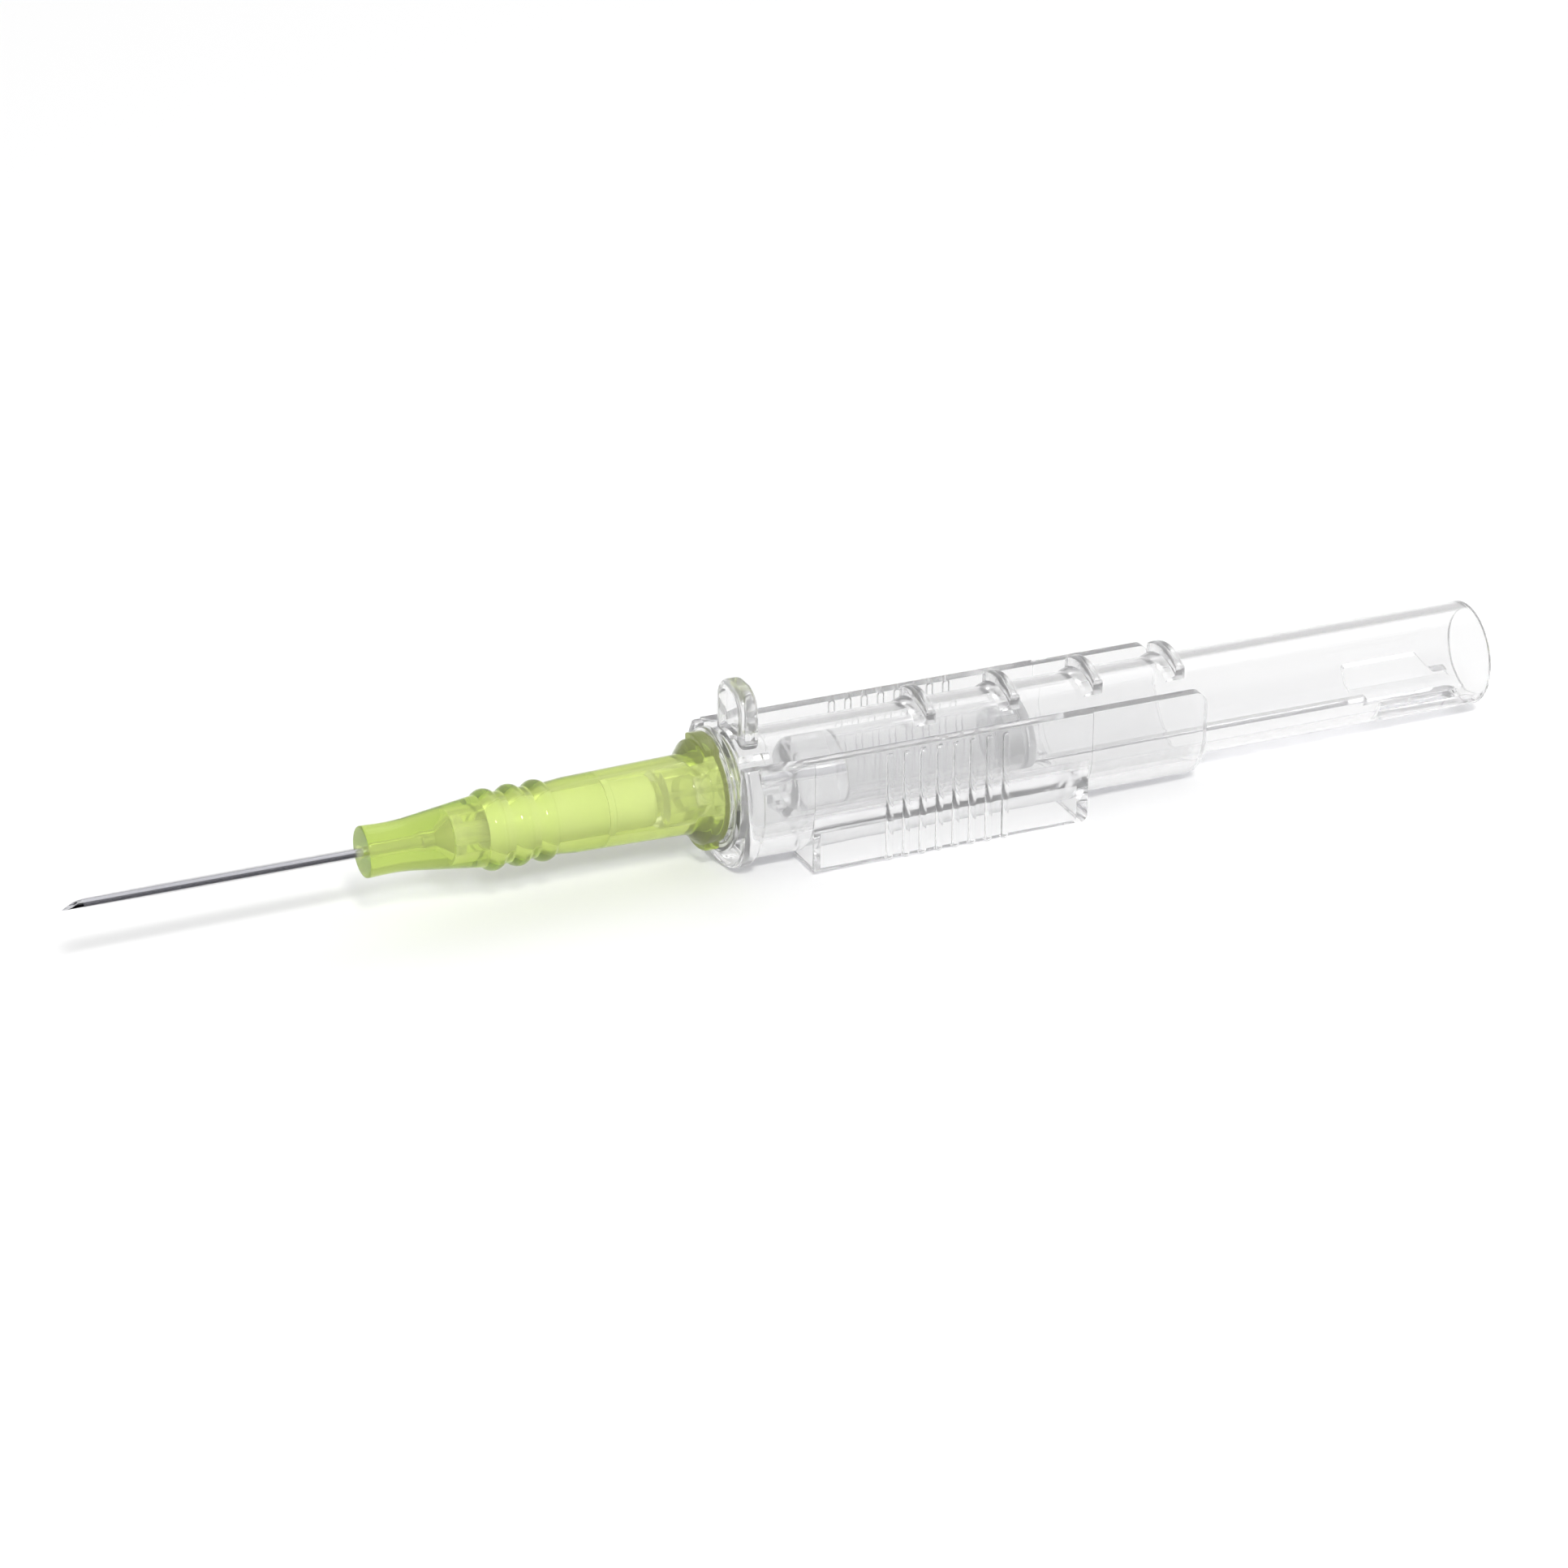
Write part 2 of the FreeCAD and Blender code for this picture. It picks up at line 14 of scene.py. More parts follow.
import bpy
from mathutils import Matrix, Vector


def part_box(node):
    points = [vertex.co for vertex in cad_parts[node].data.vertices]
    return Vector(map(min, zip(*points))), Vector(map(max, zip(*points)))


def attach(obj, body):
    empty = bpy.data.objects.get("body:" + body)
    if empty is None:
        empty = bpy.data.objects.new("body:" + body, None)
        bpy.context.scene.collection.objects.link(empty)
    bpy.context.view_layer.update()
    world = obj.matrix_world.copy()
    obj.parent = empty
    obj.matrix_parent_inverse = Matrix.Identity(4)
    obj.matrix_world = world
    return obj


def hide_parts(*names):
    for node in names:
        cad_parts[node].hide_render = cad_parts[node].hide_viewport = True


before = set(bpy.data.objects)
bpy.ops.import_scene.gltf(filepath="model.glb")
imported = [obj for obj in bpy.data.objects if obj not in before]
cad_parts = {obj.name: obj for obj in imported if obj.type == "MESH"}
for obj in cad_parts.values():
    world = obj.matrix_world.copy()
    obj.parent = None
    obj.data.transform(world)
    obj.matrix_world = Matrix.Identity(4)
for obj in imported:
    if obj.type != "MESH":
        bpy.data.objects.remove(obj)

log = logging.getLogger("cannula")

# A millimetre in metres, and the distance within which two places are one, in millimetres.
MM = 0.001
MERGE = 1e-4
# Facets round a turned piece, round the thin needle and catheter, and along a ridge's arc.
TURN_STEPS = 128
THIN_STEPS = 64
ARC_STEPS = 24
# How far a cutter runs past what it cuts, in millimetres.
PAST = 1.0
# A corner's rounding takes at most this share of its shorter side, in facets of so many degrees or finer.
CORNER_SHARE = 0.49
CORNER_TURN = 8
CORNER_STEPS = 4
# Edges that turn by more degrees than these are sharp when they are rounded, and when they are shaded.
SHARP_TURN = 25
SMOOTH_TURN = 28
JOINT_FACE = Vector((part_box("catheter_hub")[1].x, 0, sum(c.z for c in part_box("needle")) / 2))

Solid = bpy.types.Object
Node = bpy.types.Node
Tree = bpy.types.NodeTree
Point = tuple[float, float]
Place = tuple[float, float, float]
Outline = Sequence[tuple[float, ...]]


class Way(Enum):
    """How one solid is combined with another."""

    JOIN = "UNION"
    CUT = "DIFFERENCE"
    OVERLAP = "INTERSECT"


class Body(Enum):
    """The CAD body that a piece rides on."""

    HANDLE = "handle"
    GUARD = "guard"
    CATHETER = "catheter"


class Along(Enum):
    """The axis that a plate's thickness runs along; its outline gives the other two in order."""

    X = 0
    Y = 1
    Z = 2


class Pick(Enum):
    """What edit mode selects."""

    POINTS = "VERT"
    EDGES = "EDGE"
    FACES = "FACE"


class Facets(Enum):
    """Facets across a rounded edge."""

    FEW = 3
    SOME = 4
    MANY = 5


class Grain(Enum):
    """The pattern in a finish."""

    CLOUDS = "TexNoise"
    CELLS = "TexVoronoi"


@dataclass(frozen=True)
class Span:
    """Where a CAD node lies, in millimetres from the joint face."""

    front: float
    rear: float
    across: float


def span_of(node: str) -> Span:
    """Reads a node's place along the device from the CAD frame.

    Args:
        node: name of the CAD node.

    Returns:
        Its place.
    """
    low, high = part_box(node)
    return Span((low.x - JOINT_FACE.x) / MM, (high.x - JOINT_FACE.x) / MM, (high.y - low.y) / MM)


def clear_selection() -> None:
    """Leaves edit mode and deselects every object."""
    if bpy.context.mode != "OBJECT":
        bpy.ops.object.mode_set(mode="OBJECT")
    bpy.ops.object.select_all(action="DESELECT")


def hold(obj: Solid) -> None:
    """Makes one object the active and only selected one.

    Args:
        obj: the object to work on.
    """
    clear_selection()
    obj.select_set(True)
    bpy.context.view_layer.objects.active = obj


def edit(obj: Solid, pick: Pick, action: str = "DESELECT") -> None:
    """Opens an object in edit mode.

    Args:
        obj: the object to edit.
        pick: what is selected from then on.
        action: SELECT for all of it or DESELECT for none.
    """
    hold(obj)
    bpy.ops.object.mode_set(mode="EDIT")
    bpy.ops.mesh.select_mode(type=pick.value)
    bpy.ops.mesh.select_all(action=action)


def arc_through(start: Point, top: Point, end: Point, steps: int) -> list[Point]:
    """Points of the arc that starts at one point, passes through a second and ends at a third.

    Args:
        start: first end.
        top: a point between the ends.
        end: second end.
        steps: pieces of the arc.

    Returns:
        The arc's points in order, both ends included.
    """
    ax, ay = top[0] - start[0], top[1] - start[1]
    bx, by = end[0] - start[0], end[1] - start[1]
    turn = 2 * (ax * by - ay * bx)
    a2, b2 = ax * ax + ay * ay, bx * bx + by * by
    cx, cy = (by * a2 - ay * b2) / turn, (ax * b2 - bx * a2) / turn
    radius = math.hypot(cx, cy)
    first = math.atan2(-cy, -cx)
    sweep = (math.atan2(by - cy, bx - cx) - first) % math.tau
    if turn < 0:
        sweep -= math.tau
    points = []
    for i in range(steps + 1):
        angle = first + sweep * i / steps
        points.append((start[0] + cx + radius * math.cos(angle), start[1] + cy + radius * math.sin(angle)))
    return points


def rounded(corners: Outline) -> list[Point]:
    """Turns corners (a, b) or (a, b, round) into the points of a closed outline with tangent arcs.

    Args:
        corners: the outline's corners in order, the third number being the corner's radius.

    Returns:
        The outline's points.
    """
    points: list[Point] = []
    for i, corner in enumerate(corners):
        a, b = corner[:2]
        if len(corner) == 2:
            points.append((a, b))
            continue
        last, following = corners[i - 1], corners[(i + 1) % len(corners)]
        before, after = (last[0] - a, last[1] - b), (following[0] - a, following[1] - b)
        lengths = math.hypot(*before), math.hypot(*after)
        u = [part / lengths[0] for part in before]
        v = [part / lengths[1] for part in after]
        half = math.acos(u[0] * v[0] + u[1] * v[1]) / 2
        reach = min(corner[2] / math.tan(half), CORNER_SHARE * min(lengths))
        radius = reach * math.tan(half)
        middle = (u[0] + v[0], u[1] + v[1])
        depth = (radius / math.sin(half) - radius) / math.hypot(*middle)
        start = (a + reach * u[0], b + reach * u[1])
        top = (a + depth * middle[0], b + depth * middle[1])
        end = (a + reach * v[0], b + reach * v[1])
        steps = max(CORNER_STEPS, math.ceil((math.pi - 2 * half) / math.radians(CORNER_TURN)))
        points += arc_through(start, top, end, steps)
    return points


def oblong(half: float, low: float, high: float) -> Outline:
    """Corners of an oblong that is the same on both sides of the middle plane.

    Args:
        half: half of its width.
        low: its lower side.
        high: its upper side.

    Returns:
        Its four corners.
    """
    return [(-half, low), (half, low), (half, high), (-half, high)]


def draw(name: str, points: Sequence[Vector], closed: bool = True) -> Solid:
    """Draws a line by extruding a point from place to place, and leaves it selected in edit mode.

    Args:
        name: name of the new object.
        points: places that the line passes through.
        closed: whether it returns to its first point.

    Returns:
        The object that holds the line.
    """
    clear_selection()
    bpy.ops.mesh.primitive_plane_add(size=1)
    obj = bpy.context.object
    obj.name = name
    edit(obj, Pick.POINTS, "SELECT")
    bpy.ops.mesh.merge(type="CENTER")
    bpy.ops.transform.translate(value=points[0])
    route = [*points, points[0]] if closed else list(points)
    for here, there in zip(route, route[1:]):
        bpy.ops.mesh.extrude_vertices_move(TRANSFORM_OT_translate={"value": there - here})
    bpy.ops.mesh.select_all(action="SELECT")
    bpy.ops.mesh.remove_doubles(threshold=MERGE)
    bpy.ops.mesh.select_all(action="SELECT")
    return obj


def close_up(obj: Solid) -> Solid:
    """Merges doubles, turns the faces outwards and leaves edit mode.

    Args:
        obj: the object being edited.

    Returns:
        The object.
    """
    bpy.ops.mesh.select_all(action="SELECT")
    bpy.ops.mesh.remove_doubles(threshold=MERGE)
    bpy.ops.mesh.normals_make_consistent(inside=False)
    clear_selection()
    return obj


def lathe(name: str, corners: Outline, steps: int = TURN_STEPS) -> Solid:
    """Solid of revolution about the device axis.

    Args:
        name: name of the new object.
        corners: corners (x, radius) or (x, radius, round); a line from axis to axis stays open.
        steps: facets around.

    Returns:
        The turned solid.
    """
    on_axis = corners[0][1] == 0 and corners[-1][1] == 0
    obj = draw(name, [Vector((x, 0, r)) for x, r in rounded(corners)], closed=not on_axis)
    bpy.ops.mesh.spin(steps=steps, angle=math.tau, center=(0, 0, 0), axis=(1, 0, 0))
    return close_up(obj)


def plate(name: str, corners: Outline, along: Along, start: float, end: float) -> Solid:
    """Plate or bar of constant section.

    Args:
        name: name of the new object.
        corners: the section's corners.
        along: the axis that it runs along.
        start: place of its first face on that axis.
        end: place of its second face.

    Returns:
        The plate.
    """
    points = []
    for a, b in rounded(corners):
        place = [a, b]
        place.insert(along.value, start)
        points.append(Vector(place))
    depth = Vector((0, 0, 0))
    depth[along.value] = end - start
    obj = draw(name, points)
    bpy.ops.mesh.edge_face_add()
    bpy.ops.mesh.extrude_region_move(TRANSFORM_OT_translate={"value": depth})
    return close_up(obj)


def combine(obj: Solid, tool: Solid, way: Way) -> Solid:
    """Joins a solid to another or cuts it with another, which is used up.

    Args:
        obj: the solid that stays.
        tool: the solid that is used up.
        way: join, cut or overlap.

    Returns:
        The solid that stays.
    """
    hold(obj)
    modifier = obj.modifiers.new("combine", "BOOLEAN")
    modifier.object = tool
    modifier.operation = way.value
    modifier.solver = "EXACT"
    bpy.ops.object.modifier_apply(modifier=modifier.name)
    bpy.data.objects.remove(tool)
    return obj


def copy_at(obj: Solid, x: float, flip: bool = False) -> Solid:
    """Copies an object with its own mesh.

    Args:
        obj: the object to copy.
        x: how far back the copy is moved.
        flip: whether the copy is mirrored to the other side of the middle plane.

    Returns:
        The copy.
    """
    hold(obj)
    bpy.ops.object.duplicate(linked=False)
    twin = bpy.context.object
    twin.location = (x, 0, 0)
    if flip:
        twin.scale = (1, -1, 1)
    bpy.ops.object.transform_apply(location=True, rotation=True, scale=True)
    if flip:
        edit(twin, Pick.POINTS)
        close_up(twin)
    return twin


def row_of(obj: Solid, first: float, pitch: float, count: int, flips: Sequence[bool] = (False,)) -> Solid:
    """Makes one object of a row of copies that don't touch, and uses up the original.

    Args:
        obj: the object to copy.
        first: how far back the first copy is moved.
        pitch: the way from one copy to the next.
        count: how many copies the row has.
        flips: for each row, whether it is mirrored to the other side.

    Returns:
        The row, or both rows, in one object.
    """
    copies = [copy_at(obj, first + i * pitch, flip) for i in range(count) for flip in flips]
    bpy.data.objects.remove(obj)
    hold(copies[0])
    for copy in copies:
        copy.select_set(True)
    bpy.ops.object.join()
    return copies[0]


def round_edges(obj: Solid, width: float, facets: Facets, wanted: Callable[[Vector, Vector], bool]) -> Solid:
    """Rounds the sharp edges of a solid that pass a test.

    Args:
        obj: the solid.
        width: how far the rounding reaches from each edge.
        facets: facets across the rounding.
        wanted: says from an edge's two ends whether it is rounded.

    Returns:
        The same solid.
    """
    edit(obj, Pick.EDGES)
    bpy.ops.mesh.edges_select_sharp(sharpness=math.radians(SHARP_TURN))
    bpy.ops.object.mode_set(mode="OBJECT")
    mesh = obj.data
    for edge in mesh.edges:
        ends = [mesh.vertices[i].co for i in edge.vertices]
        edge.select = edge.select and wanted(*ends)
    for part in (*mesh.vertices, *mesh.polygons):
        part.select = False
    bpy.ops.object.mode_set(mode="EDIT")
    bpy.ops.mesh.bevel(offset=width, segments=facets.value, affect="EDGES", clamp_overlap=True)
    return close_up(obj)


def finish_piece(obj: Solid, body: Body, material: bpy.types.Material, node: str) -> None:
    """Brings a piece to metres and to its place, smooths it, dresses it and ties it to the CAD frame.

    Args:
        obj: the piece, modelled in millimetres from the joint face.
        body: the CAD body that it rides on.
        material: its finish.
        node: the CAD node that it stands for.
    """
    hold(obj)
    obj.scale = (MM, MM, MM)
    obj.location = JOINT_FACE
    bpy.ops.object.transform_apply(location=True, rotation=True, scale=True)
    bpy.ops.object.shade_smooth_by_angle(angle=math.radians(SMOOTH_TURN))
    obj.data.materials.clear()
    obj.data.materials.append(material)
    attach(obj, body.value)
    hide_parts(node)
    size = [round(d / MM, 2) for d in obj.dimensions]
    log.info("%s: %d faces, %s mm, stands for %s", obj.name, len(obj.data.polygons), size, node)


def dress_node(node: str, material: bpy.types.Material) -> None:
    """Gives a CAD node that stays its finish.

    Args:
        node: name of the CAD node.
        material: its finish.
    """
    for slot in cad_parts[node].material_slots:
        slot.material = material
    log.info("%s: CAD solid, finished as %s", node, material.name)


def linear(hex_value: str) -> tuple[float, float, float, float]:
    """Turns an sRGB hex value into the linear colour that a shader takes.

    Args:
        hex_value: six hex digits.

    Returns:
        Red, green, blue and an alpha of 1.
    """
    parts = []
    for i in (0, 2, 4):
        share = int(hex_value[i:i + 2], 16) / 255
        parts.append(share / 12.92 if share <= 0.04045 else ((share + 0.055) / 1.055) ** 2.4)
    return (parts[0], parts[1], parts[2], 1.0)


def add(tree: Tree, kind: str, inputs: dict[str | int, object], **settings: object) -> Node:
    """Adds a node with its settings, values and links.

    Args:
        tree: the node tree.
        kind: the shader node's type.
        inputs: for each input, a value, the output that feeds it, or a node whose first output feeds it.
        **settings: the node's own settings.

    Returns:
        The new node.
    """
    node = tree.nodes.new("ShaderNode" + kind)
    for name, value in settings.items():
        setattr(node, name, value)
    for name, value in inputs.items():
        if isinstance(value, Node):
            value = value.outputs[0]
        if isinstance(value, bpy.types.NodeSocket):
            tree.links.new(value, node.inputs[name])
        else:
            node.inputs[name].default_value = value
    return node


def empty_tree(owner: bpy.types.Material | bpy.types.World) -> Tree:
    """Gives a material or world an empty node tree.

    Args:
        owner: the material or world.

    Returns:
        Its node tree.
    """
    owner.use_nodes = True
    owner.node_tree.nodes.clear()
    return owner.node_tree


def metal_rays(tree: Tree) -> tuple[Node, Node]:
    """Tells rays that satin metal mirrors from those that clear walls mirror or let through.

    Args:
        tree: the node tree to add to.

    Returns:
        The Light Path node, and a node that gives 1 for a ray mirrored by metal and 0 for any other.
    """
    # The mask picks the rays that floor and wall show a painted dark reflection.
    path = add(tree, "LightPath", {})
    ray = path.outputs
    clear = {0: ray["Is Transmission Ray"], 1: ray["Is Singular Ray"]}
    sharp = add(tree, "Math", clear, operation="MAXIMUM")
    both = {0: ray["Is Glossy Ray"], 1: sharp}
    return path, add(tree, "Math", both, operation="SUBTRACT", use_clamp=True)


@dataclass(frozen=True)
class Finish:
    """What all finishes share: colour, gloss, and a grain of a real size that varies gloss and height."""

    name: str
    colour: str = "FFFFFF"
    metallic: float = 0.0
    ior: float = 1.50
    transmission: float = 0.0
    see_through: float = 0.0
    roughness: float = 0.0
    smoother: float = 0.0
    rougher: float = 0.0
    grain: Grain = Grain.CLOUDS
    grain_mm: float = 1.0
    grain_detail: float = 2.0
    grain_squeeze: float = 1.0
    height_mm: float = 0.0
    tint: str = "FFFFFF"
    tint_per_m: float = 0.0

    def shaders(self, tree: Tree) -> dict[str | int, object]:
        """Lays out the grain, the main shader that it varies, and the depth of tint.

        Args:
            tree: the material's node tree.

        Returns:
            What feeds the output's surface, and its volume where there is a tint.
        """
        place = add(tree, "TexCoord", {}).outputs["Object"]
        drawn = add(tree, "Mapping", {"Vector": place, "Scale": (self.grain_squeeze, 1.0, 1.0)})
        size = {"Scale": 1 / (self.grain_mm * MM), "Detail": self.grain_detail}
        grain = add(tree, self.grain.value, {"Vector": drawn, **size})
        own: dict[str | int, object] = {
            "Base Color": linear(self.colour),
            "Metallic": self.metallic,
            "IOR": self.ior,
            "Transmission Weight": self.transmission,
            "Alpha": 1.0 - self.see_through,
            "Roughness": self.roughness,
        }
        if self.rougher:
            ends = {"To Min": self.roughness - self.smoother, "To Max": self.roughness + self.rougher}
            own["Roughness"] = add(tree, "MapRange", {"Value": grain, **ends})
        if self.height_mm:
            own["Normal"] = add(tree, "Bump", {"Height": grain, "Distance": self.height_mm * MM})
        made: dict[str | int, object] = {"Surface": add(tree, "BsdfPrincipled", own)}
        if self.tint_per_m:
            depth = {"Color": linear(self.tint), "Density": self.tint_per_m}
            made["Volume"] = add(tree, "VolumeAbsorption", depth)
        return made

    def material(self) -> bpy.types.Material:
        """Builds the material.

        Returns:
            The new material.
        """
        made = bpy.data.materials.new(self.name)
        tree = empty_tree(made)
        add(tree, "OutputMaterial", self.shaders(tree))
        return made


@dataclass(frozen=True)
class ClearPlastic(Finish):
    """Injection-moulded clear plastic: polished walls with faint flow waves along the device.

    A share of milkiness softens what is seen through it, and a tint deepens where the wall is thick. A shadow
    ray meets plain dimming at each wall and no tint, so the shadow is pale and grey.
    """

    colour: str = "FAFAFA"
    transmission: float = 1.0
    grain_mm: float = 1.6
    grain_detail: float = 1.0
    grain_squeeze: float = 0.2
    height_mm: float = 0.002
    shade: str = "B0B0B4"
    milk: str = "FFFFFF"
    haze: float = 0.07

    def shaders(self, tree: Tree) -> dict[str | int, object]:
        """Adds milkiness and what a shadow ray meets.

        Args:
            tree: the material's node tree.

        Returns:
            What feeds the output's surface, and its volume where there is a tint.
        """
        made = super().shaders(tree)
        near = add(tree, "BsdfDiffuse", {"Color": linear(self.milk)})
        far = add(tree, "BsdfTranslucent", {"Color": linear(self.milk)})
        milk = add(tree, "MixShader", {0: 0.5, 1: near, 2: far})
        whole = add(tree, "MixShader", {0: self.haze, 1: made["Surface"], 2: milk})
        dimmed = add(tree, "BsdfTransparent", {"Color": linear(self.shade)})
        shadow = add(tree, "LightPath", {}).outputs["Is Shadow Ray"]
        made["Surface"] = add(tree, "MixShader", {0: shadow, 1: whole, 2: dimmed})
        if self.tint_per_m:
            clear = add(tree, "VolumeAbsorption", {"Color": linear("FFFFFF"), "Density": 0.0})
            made["Volume"] = add(tree, "MixShader", {0: shadow, 1: made["Volume"], 2: clear})
        return made


@dataclass(frozen=True)
class Silicone(Finish):
    """Moulded translucent silicone: milky, soft-edged gloss."""

    colour: str = "DEE0DA"
    ior: float = 1.41
    transmission: float = 0.4
    roughness: float = 0.38
    smoother: float = 0.08
    rougher: float = 0.08
    grain_mm: float = 0.9
    grain_detail: float = 3.0


@dataclass(frozen=True)
class Steel(Finish):
    """Stainless steel tube, drawn along its length and electropolished: a soft shine in lines along it.

    The draw lines are twice as coarse as the real ones, so that they show.
    """

    colour: str = "D2D2D6"
    metallic: float = 1.0
    roughness: float = 0.13
    smoother: float = 0.05
    rougher: float = 0.08
    grain_mm: float = 0.05
    grain_squeeze: float = 0.02
    height_mm: float = 0.0003


@dataclass(frozen=True)
class ThinTube(Finish):
    """Thin extruded fluoropolymer tube: slippery gloss over a faint grey milkiness.

    The wall is too thin to bend light, so the needle seen through it stays straight.
    """

    colour: str = "D9D8E2"
    ior: float = 1.35
    see_through: float = 0.95
    roughness: float = 0.12
    smoother: float = 0.03
    rougher: float = 0.05
    grain_mm: float = 1.2
    tint: str = "8C8C94"
    tint_per_m: float = 1400.0


@dataclass(frozen=True)
class Sintered(Finish):
    """Porous sintered plastic: matt off-white grains pressed into a disc."""

    colour: str = "EDEDE8"
    roughness: float = 0.85
    grain: Grain = Grain.CELLS
    grain_mm: float = 0.12
    grain_detail: float = 0.0
    height_mm: float = 0.03


class Finishes:
    """All finishes of the cannula, each built once."""

    def __init__(self) -> None:
        """Builds the materials."""
        self.clear = ClearPlastic("clear_polycarbonate").material()
        # Yellow-green dye: pale in the thin walls, deep in the nose and the rim.
        self.green = ClearPlastic(
            "green_polyurethane",
            colour="F0F5D4",
            ior=1.37,
            shade="D4D4DA",
            tint="D8E800",
            tint_per_m=640.0,
            milk="F6FABC",
            haze=0.2,
        ).material()
        # Undyed and unfilled: cloudier than the clear walls round it.
        self.frosted = ClearPlastic("natural_polypropylene", ior=1.49, haze=0.2).material()
        # A trace of yellow from curing.
        self.glue = ClearPlastic("cured_adhesive", colour="FAFAF4").material()
        self.silicone = Silicone("milky_silicone").material()
        self.steel = Steel("drawn_steel").material()
        # Deep-drawn and left unpolished: greyer and duller than the needle.
        self.eyelet = Steel("eyelet_steel", colour="B9B8B0", roughness=0.3).material()
        self.tube = ThinTube("catheter_polymer").material()
        self.porous = Sintered("sintered_filter").material()


@dataclass
class SubAssembly:
    """What every sub-assembly has: its finishes."""

    finishes: Finishes


@dataclass
class Needle(SubAssembly):
    """Steel cannula with a three-facet point. Lengths in millimetres, angles in degrees."""

    span: Span = span_of("needle")
    outer_d: float = 0.50
    bore_d: float = 0.28
    bevel_length: float = 1.35
    side_facet_turn: float = 30.0
    side_facet_pitch: float = 25.0
    rim_round: float = 0.03

    def facet(self, tip: Vector, pitch: float, turn: float) -> Solid:
        """Block that grinds one facet through the tip.

        Args:
            tip: the needle's point.
            pitch: slope of the facet against the axis, in degrees.
            turn: turn of the facet about the axis, in degrees.

        Returns:
            The block, whose lower face is the facet.
        """
        clear_selection()
        reach = 3 * self.bevel_length
        bpy.ops.mesh.primitive_cube_add(size=2 * reach)
        block = bpy.context.object
        tilt = Matrix.Rotation(math.radians(turn), 4, "X") @ Matrix.Rotation(math.radians(-pitch), 4, "Y")
        block.matrix_world = Matrix.Translation(tip) @ tilt @ Matrix.Translation((0, 0, reach))
        bpy.ops.object.transform_apply(location=True, rotation=True, scale=True)
        return block

    def build(self) -> None:
        """Turns the tube, grinds its point and dresses it."""
        span, outer, bore = self.span, self.outer_d / 2, self.bore_d / 2
        section = [
            (span.front, bore),
            (span.front, outer),
            (span.rear, outer, self.rim_round),
            (span.rear, bore, self.rim_round),
        ]
        tube = lathe("needle_tube", section, THIN_STEPS)
        tip = Vector((span.front, 0, -outer))
        main_pitch = math.degrees(math.atan(self.outer_d / self.bevel_length))
        combine(tube, self.facet(tip, main_pitch, 0), Way.CUT)
        for turn in (-self.side_facet_turn, self.side_facet_turn):
            combine(tube, self.facet(tip, self.side_facet_pitch, turn), Way.CUT)
        finish_piece(tube, Body.HANDLE, self.finishes.steel, "needle")


@dataclass
class FlashChamber(SubAssembly):
    """Clear chamber that holds the needle, with its web, plug and filter. Lengths in millimetres."""

    span: Span = span_of("needle_hub")
    needle: Span = span_of("needle")
    nose_d: float = 1.80
    nose_round: float = 0.15
    root_round: float = 0.20
    chamber_x: float = 5.10
    chamber_d: float = 5.00
    wall: float = 0.60
    shoulder_round: float = 0.80
    rim_round: float = 0.10
    mouth_round: float = 0.05
    floor_round: float = 0.30
    well_d: float = 1.10
    well_depth: float = 1.20
    web_length: float = 7.50
    web_half_y: float = 0.60
    web_low_z: float = -4.50
    web_round: float = 0.30
    gap: float = 0.01

    def build(self) -> None:
        """Turns the chamber, adds its web and dresses it with what it holds."""
        span, outer, bore = self.span, self.chamber_d / 2, self.chamber_d / 2 - self.wall
        hole = self.needle.across / 2 + self.gap
        floor_x = self.needle.rear - self.gap
        section = [
            (span.front, self.well_d / 2, self.mouth_round),
            (span.front, self.nose_d / 2, self.nose_round),
            (self.chamber_x, self.nose_d / 2, self.root_round),
            (self.chamber_x, outer, self.shoulder_round),
            (span.rear, outer, self.rim_round),
            (span.rear, bore, self.mouth_round),
            (floor_x, bore, self.floor_round),
            (floor_x, hole),
            (span.front + self.well_depth, hole),
            (span.front + self.well_depth, self.well_d / 2),
        ]
        chamber = lathe("flash_chamber", section)
        web_rear = self.chamber_x + self.web_length
        top = -(bore + self.wall / 2)
        section = [
            (self.chamber_x + self.shoulder_round / 2, top),
            (self.chamber_x, top - self.shoulder_round, self.web_round),
            (self.chamber_x, self.web_low_z),
            (web_rear, self.web_low_z),
            (web_rear, top),
        ]
        combine(chamber, plate("web", section, Along.Y, -self.web_half_y, self.web_half_y), Way.JOIN)
        finish_piece(chamber, Body.HANDLE, self.finishes.clear, "needle_hub")
        dress_node("needle_adhesive", self.finishes.glue)
        dress_node("vent_plug", self.finishes.frosted)
        dress_node("vent_filter", self.finishes.porous)


